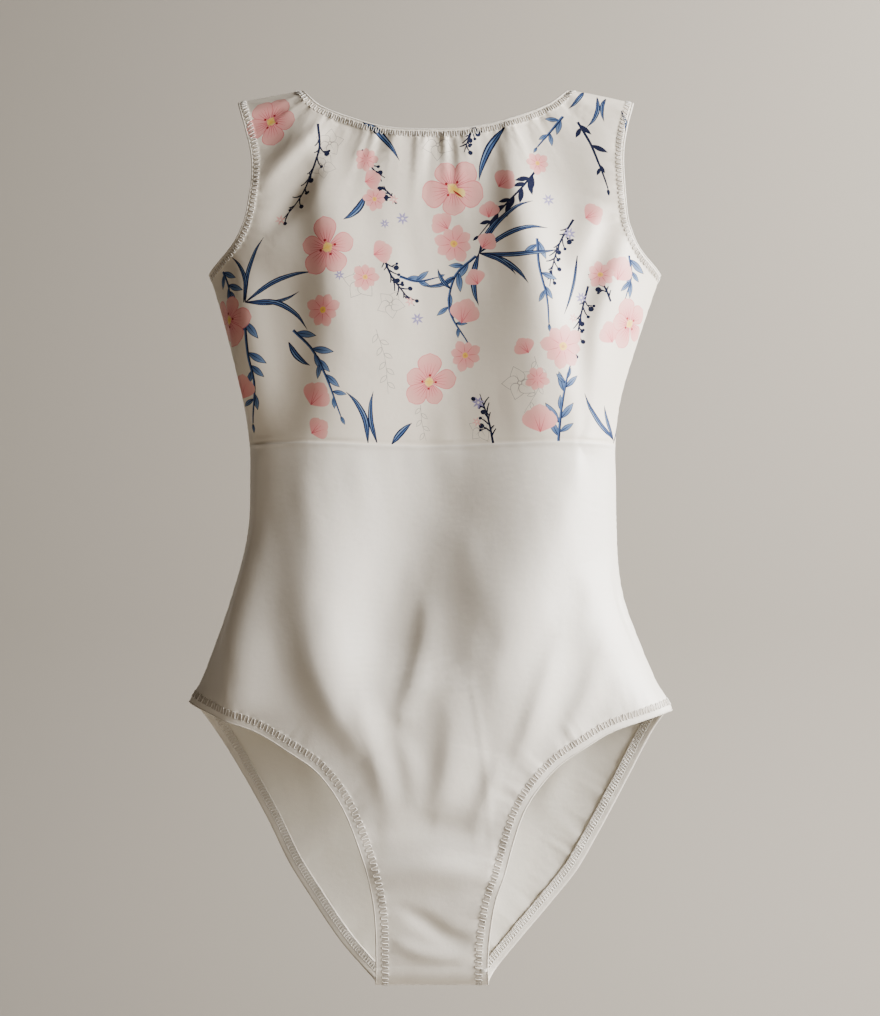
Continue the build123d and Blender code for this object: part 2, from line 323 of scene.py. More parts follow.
# each fold: points (x, z, height out of the cloth, half width to the left, half width to the right);
# a height below 0 is a hollow
FOLDS = {
    FRONT: (
        # lower part: long crests at the sides with a wide hollow between them, and the crease at the hip
        ((-88, -252, 1.5, 26, 26), (-87, -285, 3.2, 27, 28), (-84, -330, 4.5, 26, 28),
         (-83, -360, 5.2, 22, 26), (-79, -390, 6, 18, 24), (-71, -415, 6, 15, 21),
         (-58, -438, 4.5, 13, 18), (-46, -460, 1.2, 10, 12)),
        ((-4, -252, -6.5, 42, 44), (-9, -290, -11, 40, 42), (-22, -340, -13, 35, 42),
         (-31, -380, -11, 28, 40), (-34, -410, -4, 24, 34), (-30, -435, -1, 20, 26)),
        ((92, -252, 4.5, 44, 22), (86, -285, 8, 42, 26), (72, -325, 9.5, 36, 30),
         (58, -360, 9.5, 34, 34), (49, -395, 7, 30, 34), (44, -425, 4.5, 24, 28), (36, -455, 1, 18, 22)),
        ((-121, -262, 1.5, 8, 16), (-125, -300, 2.5, 8, 18), (-131, -345, 5, 9, 20),
         (-137, -385, 6.5, 10, 24), (-140, -418, 5.5, 10, 24), (-142, -434, 2.5, 8, 18)),
        ((96, -330, 0.5, 10, 14), (110, -370, 2.5, 14, 18), (120, -405, 2, 14, 16)),
        ((123, -338, -0.3, 1.5, 2.5), (130, -362, -1.8, 1.8, 3), (141, -392, -0.4, 1.5, 2.5)),
        # short creases and dimples above the legs and at the crotch
        ((-5, -350, 0.4, 6, 9), (-6, -372, 2, 7, 11), (-12, -400, 2.4, 7, 12), (-22, -428, 1.2, 7, 10)),
        ((-50, -424, 0.4, 7, 10), (-42, -450, 2, 8, 12), (-36, -476, 2.4, 8, 12), (-30, -500, 0.6, 8, 10)),
        ((10, -415, 0.4, 9, 14), (12, -440, 2.2, 10, 15), (8, -470, 3, 10, 16), (2, -494, 1, 9, 14)),
        ((-27, -440, 0.3, 6, 8), (-18, -462, 1.6, 7, 9), (-14, -486, 0.8, 7, 9)),
        ((82, -380, 0.5, 7, 10), (74, -410, 2.4, 8, 11), (63, -442, 2.2, 7, 10), (52, -468, 0.5, 6, 8)),
        ((110, -392, 0.5, 7, 10), (103, -418, 1.8, 7, 10), (92, -440, 1.3, 6, 9)),
        ((44, -462, 0.3, 5, 7), (36, -484, 1.4, 6, 8), (28, -508, 0.6, 6, 8)),
        ((-36, -512, -1, 9, 9), (-2, -507, -3, 11, 11), (32, -512, -1, 9, 9)),
        ((-36, -540, 2.5, 12, 9), (0, -536, 4, 13, 10), (34, -540, 2.5, 12, 9)),
        ((24, -405, 0.1, 2, 3), (30, -440, 0.22, 2.2, 3.4), (35, -480, 0.25, 2.2, 3.4),
         (38, -522, 0.1, 2, 3)),
        ((-22, -566, -0.6, 5, 5), (-8, -574, -2.2, 6, 6), (8, -585, -2.2, 6, 6), (24, -590, -0.6, 5, 5)),
        ((-30, -588, 0.5, 5, 5), (-10, -597, 2, 6, 6), (14, -600, 1.8, 6, 6), (27, -597, 0.4, 5, 5)),
        # bodice
        ((-136, -120, 1, 9, 14), (-132, -150, 6, 11, 20), (-129, -190, 8.5, 13, 24),
         (-127, -220, 6.5, 12, 22), (-124, -242, 2, 10, 18)),
        ((-82, -44, 1, 9, 14), (-77, -80, 3.2, 12, 20), (-72, -125, 4.2, 15, 25),
         (-70, -175, 4.4, 17, 27), (-75, -215, 3.5, 18, 28), (-84, -243, 1.5, 22, 26)),
        ((-2, -60, -1.5, 24, 24), (5, -110, -5.5, 34, 28), (8, -160, -8, 40, 30),
         (6, -205, -7.5, 42, 36), (-2, -243, -4.5, 44, 44)),
        ((50, -36, 2, 8, 12), (54, -65, 5, 12, 16), (58, -90, 7.5, 16, 18), (63, -112, 8.5, 19, 19),
         (69, -137, 9, 22, 20), (73, -162, 9.5, 25, 20), (82, -200, 7.5, 30, 20), (93, -242, 4, 38, 20)),
        ((113, -82, 0.5, 12, 8), (107, -97, 3, 13, 8), (100, -113, 3.5, 12, 9), (93, -130, 1, 10, 9)),
        ((129, -104, 1, 8, 9), (124, -122, 4.5, 9, 12), (117, -143, 5.5, 9, 14), (110, -167, 5, 9, 14),
         (108, -205, 4, 9, 13), (106, -240, 1.5, 8, 10)),
        ((-121, -74, 0.5, 6, 8), (-106, -56, 3, 7, 9), (-90, -40, 3.5, 7, 9), (-74, -26, 1, 6, 7)),
        ((-116, -104, -0.5, 6, 7), (-100, -84, -3, 8, 9), (-84, -64, -2, 7, 8)),
        ((124, -12, 0.5, 26, 14), (125, -36, 5, 30, 18), (125, -62, 7, 32, 18), (126, -80, 4.5, 24, 16),
         (129, -96, 1, 12, 12)),
    ),
    BACK: (
        ((-60, -205, 2, 14, 22), (-60, -260, 5, 16, 26), (-66, -340, 7.5, 18, 28), (-72, -420, 5.5, 16, 26),
         (-62, -480, 1.5, 12, 18)),
        ((2, -235, 1, 16, 18), (4, -300, 4, 22, 22), (6, -380, 4.5, 22, 24), (2, -450, 2, 18, 20)),
        ((58, -210, 2, 18, 14), (62, -270, 5, 24, 16), (70, -350, 7, 26, 18), (74, -430, 5, 24, 16),
         (60, -490, 1, 16, 12)),
        ((-104, -150, 1, 8, 10), (-100, -200, 4, 10, 14), (-104, -260, 3, 12, 15)),
        ((104, -150, 1, 10, 8), (100, -205, 4, 14, 10), (106, -270, 3, 15, 12)),
        ((0, -500, -3, 50, 50), (0, -540, -9, 45, 45), (0, -580, -8, 40, 40), (0, -606, -3, 34, 34)),
        ((-40, -480, 1, 10, 10), (0, -505, 4, 16, 16), (40, -480, 1, 10, 10)),
        ((-120, -320, 1, 8, 10), (-112, -380, -4, 12, 12), (-96, -450, -3, 12, 12), (-80, -500, -0.5, 9, 9)),
        ((120, -320, 1, 10, 8), (112, -380, -4, 12, 12), (96, -450, -3, 12, 12), (80, -500, -0.5, 9, 9)),
        ((-50, -540, -0.5, 7, 7), (-20, -560, -3, 9, 9), (20, -570, -2.5, 9, 9), (40, -575, -0.5, 7, 7)),
    ),
}
# hems: how wide the turned edge is, how far the elastic gathers the cloth, how high and how often
HEMS = {
    "neck": (5.4, 24, 1.5, 7.0), "arm-1": (5.4, 9, 0.5, 5.5), "arm1": (5.4, 12, 0.8, 6.0),
    "leg-1": (8.6, 13, 0.6, 8.0), "leg1": (8.6, 15, 0.9, 7.5),
}


def folds(side, x, z):
    """Height of all listed folds over the smooth tube."""
    total = np.zeros(len(x))
    for fold in FOLDS[side]:
        p = np.array(fold, float)
        along = np.arange(len(p)) * 30.0
        at = np.linspace(0, along[-1], 40)
        fine = np.stack([smooth(list(zip(along, p[:, k])), at) for k in range(5)], axis=1)
        best = np.full(len(x), 1e9)
        height = np.zeros(len(x))
        width = np.ones(len(x))
        wide = 2.6 * fine[:, 3:].max()
        for a, b in zip(fine[:-1], fine[1:]):
            low, high = np.minimum(a, b)[:2] - wide, np.maximum(a, b)[:2] + wide
            here = np.flatnonzero((x > low[0]) & (x < high[0]) & (z > low[1]) & (z < high[1]))
            d = b[:2] - a[:2]
            px, pz = x[here] - a[0], z[here] - a[1]
            f = np.clip((px * d[0] + pz * d[1]) / (d @ d), 0, 1)
            gap = np.hypot(px - f * d[0], pz - f * d[1])
            near = gap < best[here]
            right = step(-0.25, 0.25, (d[0] * pz - d[1] * px) / (np.hypot(*d) * (gap + 1e-6) + 1e-6))
            left_width, right_width = a[3] + (b[3] - a[3]) * f, a[4] + (b[4] - a[4]) * f
            best[here[near]] = gap[near]
            height[here[near]] = (a[2] + (b[2] - a[2]) * f)[near]
            width[here[near]] = (left_width * (1 - right) + right_width * right)[near]
        total += height * bell(best, 0, width)
    return total


def full_relief(side, s, t):
    """Height of the cloth over the smooth tube: folds, gathers at the hems, hems, seams."""
    tube = TUBE[side]
    base = tube.base(s, t)
    x, z = base[:, 0], base[:, 2]
    out = folds(side, x, z)
    sine = np.abs(x - smooth(SHIFT, z)) / smooth(HALF_WIDTH, z)
    seamed = (z > SIDE_SEAM[0]) * (z < SIDE_SEAM[1])
    ends = step(0, 16, -t) * step(0, 16, tube.length + t)
    # small unevenness of the hanging cloth
    out += 0.5 * wave(x + 0.4 * z, 26, 1 + side) * wave(z - 0.3 * x, 34, 5) * step(0, 30, -t)
    out += 0.45 * wave(x + 0.2 * z, 13, 7) * wave(z - 0.5 * x, 23, 8) * step(10, 40, -t)
    edges = EDGES[side]
    for name, (width, reach, height, pitch) in HEMS.items():
        e, run = nearest(edges[name], s, t, 3 * reach)
        gathers = wave(run + 0.15 * e, pitch, 3 + len(name)) + 0.6 * wave(run, pitch * 0.55, 9)
        out += height * gathers * np.exp(-(e / reach) ** 1.5) * step(0.3 * width, 1.1 * width, e) * ends
        # the doubled cloth of the hem, the groove of its stitching and the pucker beside it
        out += 0.3 * (1 - step(width - 0.7, width + 0.7, e))
        out -= 0.22 * bell(e, width - 0.2, 0.5)
        pucker = step(width - 4, width - 1.5, e) * (1 - step(width, width + 2.5, e))
        out += 0.25 * height * wave(run, 2.6, 4) * pucker
    # the waist seam: cloth pulled in above its line, raised below it
    e, run = nearest(edges["waist"], s, t, 45)
    waist_t = np.interp(s, edges["waist"][:, 0], edges["waist"][:, 1])
    above = np.where(t < waist_t, -e, e)
    out += 0.2 * wave(run, 14, 6) * np.exp(-(e / 14) ** 1.3) * step(0.3, 5, e)
    out += 0.75 * bell(above, -0.8, 0.85) - 0.45 * bell(above, 1.0, 0.95)
    # folds fade at the shoulder, the crotch and the side seams, which lie in a groove
    out *= (0.15 + 0.85 * ends) * (1 - 0.9 * step(0.94, 1.0, sine) * seamed)
    to_side = tube.arcs(t)[:, -1] - np.abs(s)
    return out - 0.45 * bell(to_side, 0, 1.1) * seamed


class Grid:
    """The relief of one side, worked out once on a fine grid and read between its points."""

    PITCH = 0.8

    def __init__(self, side):
        tube = TUBE[side]
        self.reach = tube.arc[:, -1].max() + 2
        self.s = np.arange(-self.reach, self.reach + self.PITCH, self.PITCH)
        self.t = np.arange(-tube.length - 2, 2 + self.PITCH, self.PITCH)
        s, t = np.meshgrid(self.s, self.t)
        self.height = full_relief(side, s.ravel(), np.clip(t.ravel(), -tube.length, 0)).reshape(s.shape)

    def read(self, s, t):
        """Height at fabric points, from the four grid points round each."""
        a = np.clip((s - self.s[0]) / self.PITCH, 0, len(self.s) - 1.001)
        b = np.clip((t - self.t[0]) / self.PITCH, 0, len(self.t) - 1.001)
        i, j = a.astype(int), b.astype(int)
        a, b, h = a - i, b - j, self.height
        lower = h[j, i] * (1 - a) + h[j, i + 1] * a
        upper = h[j + 1, i] * (1 - a) + h[j + 1, i + 1] * a
        return lower * (1 - b) + upper * b


RELIEF = {side: Grid(side) for side in (FRONT, BACK)}


def smooth_normals(side, s, t):
    """Outward directions of the smooth tube."""
    tube, h = TUBE[side], 0.8
    across = tube.base(s + h, t) - tube.base(s - h, t)
    up = tube.base(s, np.minimum(t + h, 0)) - tube.base(s, np.maximum(t - h, -tube.length))
    n = np.cross(across, up)
    n *= -1 if side == BACK else 1
    return n / (np.linalg.norm(n, axis=1)[:, None] + 1e-12)


def cloth(side, s, t):
    """Place of fabric points on the folded outer surface."""
    s, t = np.asarray(s, float), np.asarray(t, float)
    return TUBE[side].base(s, t) + smooth_normals(side, s, t) * RELIEF[side].read(s, t)[:, None]


def cloth_frame(side, s, t):
    """Places and outward directions on the folded surface."""
    s, t = np.asarray(s, float), np.asarray(t, float)
    tube, h = TUBE[side], 0.6
    count = len(s)
    up, down = np.minimum(t + h, 0), np.maximum(t - h, -tube.length)
    all_s = np.concatenate([s, s + h, s - h, s, s])
    all_t = np.concatenate([t, t, t, up, down])
    p = cloth(side, all_s, all_t).reshape(5, count, 3)
    n = np.cross(p[1] - p[2], p[3] - p[4]) * (-1 if side == BACK else 1)
    n /= np.linalg.norm(n, axis=1)[:, None] + 1e-12
    return p[0], n


# ================================================================= print, drawn in fabric coordinates
# inks multiply the cloth's own colour
PLAIN = (1.0, 1.0, 1.0)
PINK, PINK_PALE, PINK_DEEP = (1.0, 0.39, 0.46), (1.0, 0.58, 0.61), (0.74, 0.14, 0.22)
YELLOW, RED = (1.0, 0.66, 0.10), (0.36, 0.015, 0.04)
NAVY, BLUE, BLUE_PALE = (0.004, 0.010, 0.055), (0.055, 0.13, 0.38), (0.20, 0.34, 0.66)
LILAC, GREY = (0.36, 0.35, 0.74), (0.42, 0.41, 0.43)


def polar(angle, radius=1.0):
    """Step of a length in a direction."""
    return radius * np.array([math.cos(angle), math.sin(angle)])


class Print:
    """Motifs on one side of the bodice; each shape is an outline with a colour that may fade outward."""

    def __init__(self, side, flip, lift):
        self.side, self.flip, self.lift = side, flip, lift
        self.shapes = []

    def spot(self, x, z):
        """Fabric point of a place given in front view."""
        s, t = TUBE[self.side].fabric(np.array([self.flip * x]), np.array([z + self.lift]))
        return np.array([s[0], t[0]])

    def add(self, points, inner, outer=None, centre=(0, 0), radius=1.0):
        """One more outline on top of the others."""
        self.shapes.append((np.asarray(points, float), inner, outer or inner, centre, radius))

    def petal(self, centre, angle, length, width, inner, outer, fullness=1.7, steps=8, start=0.0):
        """Petal or leaf: the fuller, the nearer its widest point lies to the tip."""
        u = np.linspace(0, 1, steps + 1)
        blunt = 0.62 if fullness > 1 else 1.0
        half = width / 2 * np.sin(np.pi * u ** fullness) ** blunt
        u = start + (1 - start) * u
        along = np.concatenate([u * length, u[-2:0:-1] * length])
        side = np.concatenate([-half, half[-2:0:-1]])
        c, s = math.cos(angle), math.sin(angle)
        points = np.stack([centre[0] + along * c - side * s, centre[1] + along * s + side * c], axis=1)
        self.add(points, inner, outer, centre, length)

    def blob(self, centre, radius, ink, steps, seed, outer=None):
        """Uneven round spot."""
        a = np.linspace(0, 2 * np.pi, steps, endpoint=False)
        r = radius * (1 + 0.12 * wave(a * 9 + seed, 5, 2))
        ring = np.stack([centre[0] + r * np.cos(a), centre[1] + r * np.sin(a)], axis=1)
        self.add(ring, ink, outer, centre, radius)

    def stroke(self, points, widths, ink, count=None):
        """Tapered line through points."""
        p = curve(points, count or max(6, 4 * len(points)))
        run = np.linspace(0, 1, len(p))
        half = np.interp(run, np.linspace(0, 1, len(widths)), widths) / 2
        d = np.gradient(p, axis=0)
        d /= np.hypot(*d.T)[:, None]
        n = np.stack([-d[:, 1], d[:, 0]], axis=1)
        self.add(np.concatenate([p + n * half[:, None], (p - n * half[:, None])[::-1]]), ink)

    def veins(self, foot, turn, leans, length, widths, ink=PINK_DEEP, count=4):
        """Fine straight lines from the foot of a petal."""
        for lean in leans:
            tip = foot + polar(turn + lean, length)
            self.stroke([foot, (foot + tip) / 2, tip], widths, ink, count)

    def flower(self, x, z, radius, turn, orchid=False):
        """Five broad petals with a darker rim, fine veins and a yellow heart."""
        c = self.spot(x, z)
        for k in range(5):
            a = turn + k * 2 * math.pi / 5 + 0.14 * math.sin(5 * k + x)
            size = radius * (1 + 0.10 * math.sin(3 * k + z))
            broad = size * (0.80 + 0.08 * math.sin(7 * k + x))
            self.petal(c, a, size, broad, PINK_DEEP, PINK, 1.6, 10)
            self.petal(c, a, size * 0.97, broad * 0.92, PINK, PINK_PALE, 1.6, 10, 0.03)
            for lean in (-0.34, -0.12, 0.10, 0.31):
                tip = c + polar(a + lean, size * 0.66)
                mid = (c + tip) / 2 + 0.4 * np.array([-math.sin(a), math.cos(a)])
                self.stroke([c, mid, tip], (0.6, 0.35, 0.05), PINK_DEEP, 5)
        self.blob(c, radius * 0.17, YELLOW, 10, x, (1.0, 0.80, 0.36))
        for k in range(4):
            a = turn + 1.6 * k
            reach = c + polar(a, radius * 0.26)
            self.stroke([c, (c + reach) / 2 + 0.3, reach], (0.5, 0.45, 0.3), YELLOW, 4)
            self.blob(reach, radius * 0.05, RED, 6, k)
        if orchid:
            self.petal(c, turn - 1.4, radius * 0.5, radius * 0.30, YELLOW, (1.0, 0.86, 0.4))
            self.stroke([c + (0.6, -1.4), c + (3.2, -3.4), c + (7.2, -6.2)], (0.5, 1.6, 0.3), RED, 6)

    def daisy(self, x, z, radius, turn, heart):
        """Round pink flower with narrow petals."""
        c = self.spot(x, z)
        petals = 8
        for k in range(petals):
            a = turn + k * 2 * math.pi / petals
            size = radius * (1 + 0.10 * math.sin(4 * k + x))
            self.petal(c, a, size, size * 0.60, PINK, PINK_PALE, 1.5, 8)
        for k in range(petals):
            a = turn + (k + 0.5) * 2 * math.pi / petals
            p, q = (c + polar(a, radius * f) for f in (0.25, 0.74))
            self.stroke([p, (p + q) / 2, q], (0.35, 0.3, 0.05), PINK_DEEP, 4)
        if heart:
            self.blob(c, radius * 0.19, YELLOW, 9, x)
            self.blob(c, radius * 0.09, (0.85, 0.40, 0.12), 6, z)

    def bud(self, x, z, radius, turn):
        """Half-open flower of three petals."""
        foot = self.spot(x, z) - polar(turn, radius)
        for lean, size in ((-0.5, 1.65), (0.5, 1.7), (0.0, 1.95)):
            self.petal(foot, turn + lean, radius * size, radius * 1.35, PINK, PINK_PALE, 1.6, 9)
        self.veins(foot, turn, (-0.3, 0.05, 0.32), radius * 1.3, (0.5, 0.3, 0.05))

    def blade(self, x0, z0, x1, z1, width, bend):
        """Long leaf: dark rim, blue body, dark midrib."""
        a, b = self.spot(x0, z0), self.spot(x1, z1)
        side = np.array([-(b - a)[1], (b - a)[0]]) * bend
        path = [a, a * 0.6 + b * 0.4 + side, a * 0.25 + b * 0.75 + side * 0.8, b]
        self.stroke(path, (0.7, width * 0.9, width, width * 0.7, 0.15), NAVY, 14)
        self.stroke(path[:3] + [b * 0.96 + path[2] * 0.04],
                    (0.1, width * 0.5, width * 0.6, width * 0.36, 0.05), BLUE, 12)
        n = side / (np.hypot(*side) + 1e-6)
        pale = [p + n * width * 0.16 for p in path[1:3]]
        self.stroke([path[0] * 0.6 + pale[0] * 0.4, *pale, path[3] * 0.5 + pale[1] * 0.5],
                    (0.05, width * 0.15, width * 0.16, 0.05), BLUE_PALE, 9)
        self.stroke(path, (0.5, 0.75, 0.6, 0.15), NAVY, 11)

    def leaf(self, at, angle, length, ink):
        """Small pointed leaf with a dark midrib."""
        bent = angle + 0.18 * math.sin(at[0])
        width = length * 0.27
        self.petal(at, bent, length, width + 0.7, NAVY, NAVY, 0.95, 8)
        outer = BLUE_PALE if ink is BLUE else ink
        self.petal(at, bent, length * 0.94, width, ink, outer, 0.95, 8, 0.04)
        self.veins(at, bent, (0,), 0.85 * length, (0.55, 0.4, 0.05), NAVY)

    def sprig(self, points, leaves, size, ink=BLUE, width=2.0):
        """Watercolour stem with uneven pointed leaves on both sides."""
        p = [self.spot(*q) for q in points]
        line = curve(p, 60)
        for k in range(leaves):
            i = int(5 + 48 * (k + 0.25 * math.sin(k * 2.7 + points[0][0])) / leaves) % 58
            d = line[i + 1] - line[i]
            a = math.atan2(d[1], d[0])
            long = size * (2.05 - 0.75 * k / leaves + 0.3 * math.sin(k * 3.1 + points[0][1]))
            self.leaf(line[i], a + 0.55 + 0.3 * math.sin(k * 1.9), long, ink)
            if (k + int(points[0][0])) % 3:
                self.leaf(line[min(i + 3, 58)], a - 0.6 - 0.25 * math.cos(k * 2.3), long * 0.85, ink)
        self.leaf(line[-1], math.atan2(*(line[-1] - line[-3])[::-1]), size * 0.9, ink)
        self.stroke(p, (width, width * 0.9, width * 0.75, width * 0.35), ink)
        shade = [q + np.array([0.22 * width, 0.0]) for q in p]
        self.stroke(shade, (width * 0.42, width * 0.36, width * 0.2), NAVY)

    def twig(self, points, berries, reach):
        """Dark stem with short side shoots that end in berries."""
        p = [self.spot(*q) for q in points]
        line = curve(p, 60)
        self.stroke(p, (1.7, 1.35, 1.1, 0.6), NAVY)
        berries = berries + berries // 2
        for k in range(berries):
            i = int(8 + 46 * (k + 0.3 * math.sin(k * 1.9)) / berries)
            d = line[i + 1] - line[i]
            a = math.atan2(d[1], d[0]) + (0.65 if k % 2 else -0.65) + 0.25 * math.sin(k * 2.2)
            long = reach * (1.2 + 0.45 * math.sin(k * 2.4))
            tip = line[i] + polar(a, long)
            bend = (line[i] + tip) / 2 + 0.12 * (line[i + 1] - line[i]) * long
            self.stroke([line[i], bend, tip], (1.15, 0.95, 0.7), NAVY, 5)
            if k % 3 == 1:
                side = bend + polar(a + 0.9, 0.55 * long)
                self.stroke([bend, (bend + side) / 2, side], (0.9, 0.75, 0.5), NAVY, 4)
                self.blob(side, 1.0, NAVY, 7, k)
            if k % 2:
                self.blob(tip, 1.5 + 0.4 * math.sin(k * 1.7), NAVY, 8, k)

    def star(self, x, z, radius, ink=LILAC, points=7):
        """Small star-shaped flower."""
        c = self.spot(x, z)
        for k in range(points):
            self.petal(c, 0.3 + k * 2 * math.pi / points, radius, radius * 0.34, ink, ink, 0.8, 4)
        self.blob(c, radius * 0.2, PLAIN, 6, x)

    def outline_flower(self, x, z, radius, turn):
        """Flower drawn only as a fine grey line."""
        c = self.spot(x, z)
        for k in range(5):
            a = turn + k * 2 * math.pi / 5
            self.petal(c, a, radius, radius * 0.85, GREY, GREY, 0.62, 9)
            self.petal(c, a, radius * 0.955, radius * 0.79, PLAIN, PLAIN, 0.62, 9, 0.04)
            self.veins(c, a, (0,), radius * 0.6, (0.25, 0.2, 0.05), GREY)
        self.blob(c, radius * 0.14, GREY, 7, x)
        self.blob(c, radius * 0.09, PLAIN, 7, x)

    def outline_sprig(self, points, leaves, size):
        """Stem with leaves drawn only as a fine grey line."""
        p = [self.spot(*q) for q in points]
        line = curve(p, 40)
        self.stroke(p, (0.3, 0.25, 0.2), GREY)
        for k in range(leaves):
            i = int(3 + 34 * k / leaves)
            d = line[i + 1] - line[i]
            a = math.atan2(d[1], d[0]) + (0.8 if k % 2 else -0.8)
            self.petal(line[i], a, size, size * 0.45, GREY, GREY, 0.9, 6)
            self.petal(line[i], a, size * 0.93, size * 0.34, PLAIN, PLAIN, 0.9, 6, 0.08)


def floral(side, flip=1, lift=0.0):
    """The bodice's arrangement of flowers, leaves and twigs, placed in front view."""
    p = Print(side, flip, lift)
    for x, z, r, turn in ((-72, -41, 10, 0.2), (2, -42, 11, 0.9), (-50, -139, 12, 0.4), (-30, -153, 10, 1.1),
                          (57, -206, 12, 0.7), (-76, -58, 9, 1.0), (32, -238, 9, 0.2)):
        p.outline_flower(x, z, r, turn)
    p.outline_sprig(((-40, -170), (-34, -190), (-32, -214)), 8, 7)
    p.outline_sprig(((-10, -222), (-9, -234), (-6, -246)), 5, 6)
    p.outline_sprig(((66, -188), (70, -205), (60, -226)), 6, 6)
    # dark twigs and thin stems
    p.twig(((-80, -28), (-79, -45), (-86, -66), (-92, -78), (-107, -97)), 8, 5)
    p.twig(((-36, -117), (-30, -133), (-22, -144), (-14, -154)), 9, 5)
    p.twig(((30, -24), (24, -36), (20, -48)), 7, 4)
    p.twig(((94, -95), (84, -112), (78, -130), (76, -142)), 9, 5)
    p.twig(((104, -140), (99, -158), (96, -172), (92, -186)), 8, 5)
    p.twig(((40, -247), (37, -232), (31, -214)), 7, 5)
    p.twig(((-50, -46), (-42, -60), (-34, -66)), 5, 4)
    p.twig(((-26, -84), (-32, -76), (-38, -72)), 4, 3)
    p.twig(((118, -150), (112, -137), (104, -132)), 5, 4)
    # blue sprigs
    p.sprig(((28, -120), (14, -133), (10, -156), (23, -180)), 5, 7)
    p.sprig(((70, -60), (56, -78), (42, -92), (30, -106)), 7, 6, NAVY, 1.6)
    p.sprig(((98, -26), (106, -42), (111, -56), (117, -74)), 3, 6, NAVY)
    p.sprig(((88, -22), (80, -32), (70, -44)), 2, 6)
    p.sprig(((68, -110), (69, -128), (74, -150), (75, -166)), 3, 7)
    p.sprig(((82, -247), (84, -222), (88, -200), (92, -188)), 5, 8)
    p.sprig(((-127, -160), (-124, -184), (-120, -206), (-123, -232)), 4, 8)
    p.sprig(((-96, -170), (-82, -184), (-72, -204), (-64, -228)), 5, 8)
    p.sprig(((-24, -134), (-12, -137), (2, -134)), 2, 6)
    p.sprig(((132, -118), (134, -132), (130, -146)), 3, 7)
    p.sprig(((-146, -128), (-140, -140), (-138, -152)), 3, 7)
    # long leaves
    for x0, z0, x1, z1, width, bend in (
            (-127, -150, -117, -106, 3.2, 0.10), (-127, -150, -82, -131, 3.6, 0.10),
            (-127, -150, -92, -144, 3.0, -0.1), (-127, -150, -86, -170, 3.8, 0.16),
            (-128, -150, -140, -118, 3.0, -0.15), (-99, -178, -84, -194, 4.4, -0.1),
            (30, -118, 76, -102, 3.6, 0.10), (30, -118, 66, -84, 3.4, 0.12),
            (30, -118, 84, -116, 3.4, -0.06), (30, -118, 62, -140, 3.8, 0.10),
            (30, -118, 30, -154, 4.6, -0.1), (30, -118, 54, -134, 3.0, 0.1), (30, -118, 48, -92, 3.0, 0.1),
            (14, -134, -8, -140, 3.0, 0.1), (11, -142, 2, -128, 3.0, 0.1),
            (-54, -22, -24, -54, 4.6, 0.06), (48, -30, 30, -68, 5.6, -0.08), (-47, -78, -62, -96, 5.0, 0.10),
            (124, -244, 100, -212, 4.0, 0.10), (124, -244, 115, -220, 3.6, 0.06),
            (124, -246, 133, -204, 3.8, -0.08), (-46, -247, -60, -212, 4.2, -0.12),
            (-40, -247, -42, -212, 3.6, 0.08), (-30, -248, -16, -234, 4.6, 0.04),
            (112, -8, 104, -30, 3.2, 0.12), (118, -9, 116, -26, 3.0, -0.10), (103, -4, 92, -16, 3.2, 0.08),
            (128, -18, 130, -34, 2.6, 0.1), (96, -120, 86, -160, 2.4, 0.05)):
        p.blade(x0, z0, x1, z1, width, bend)
    # buds, small stars, daisies and the large flowers on top
    for x, z, r, turn in ((-35, -117, 7, 0.4), (21, -157, 9, 1.3), (-79, -213, 9, 1.0), (70, -229, 10, 1.6),
                          (-78, -236, 7, 0.6), (27, -134, 6, 2.0), (36, -110, 6, 0.9), (37, -88, 6, 1.5),
                          (48, -68, 7, 0.8), (126, -127, 9, 1.2), (108, -91, 7, 0.5), (59, -181, 6, 2.2),
                          (-128, -206, 9, 1.4), (4, -96, 7, 2.4), (-42, -67, 6, 0.3), (118, -170, 8, 2.0)):
        p.bud(x, z, r, turn)
    for x, z, r in ((-22, -94, 4.5), (-12, -163, 4.5), (77, -82, 4.5), (91, -105, 4.5), (99, -148, 4.2),
                    (30, -220, 4.5), (-34, -98, 3.4), (-64, -134, 3.6), (12, -70, 3.6)):
        p.star(x, z, r)
    for x, z, r in ((-28, -81, 3.6), (-106, -94, 4.0), (-17, -151, 3.6), (93, -162, 3.6), (29, -233, 3.4)):
        p.star(x, z, r, PINK_PALE, 6)
    for x, z, r, heart in (
            (13, -111, 13, True), (-75, -157, 11.5, True), (-47, -135, 9, True), (-41, -81, 8, True),
            (-47, -53, 8, False), (85, -181, 15, True), (21, -188, 10.5, True), (70, -56, 8, True),
            (68, -203, 8, False), (112, -132, 9, True)):
        p.daisy(x, z, r, x * 0.1, heart)
    p.flower(-72, -115, 20, 0.35)
    p.flower(-4, -206, 18, 1.45)
    p.flower(12, -73, 20, 0.9, orchid=True)
    p.flower(134, -164, 17, 0.6)
    p.flower(-139, -161, 18, 0.15)
    p.flower(-113, -25, 18, 1.0)
    return p.shapes


# ================================================================= meshes
def inside(polygon, points):
    """Which points lie inside a closed outline."""
    hit = np.zeros(len(points), bool)
    a, b = polygon, np.roll(polygon, -1, axis=0)
    for p, q in zip(a, b):
        if p[1] == q[1]:
            continue
        crosses = (points[:, 1] >= min(p[1], q[1])) & (points[:, 1] < max(p[1], q[1]))
        x = p[0] + (points[:, 1] - p[1]) * (q[0] - p[0]) / (q[1] - p[1])
        hit ^= crosses & (points[:, 0] < x)
    return hit


def closed(polygon):
    """The outline with its first point again at its end."""
    return np.concatenate([polygon, polygon[:1]])


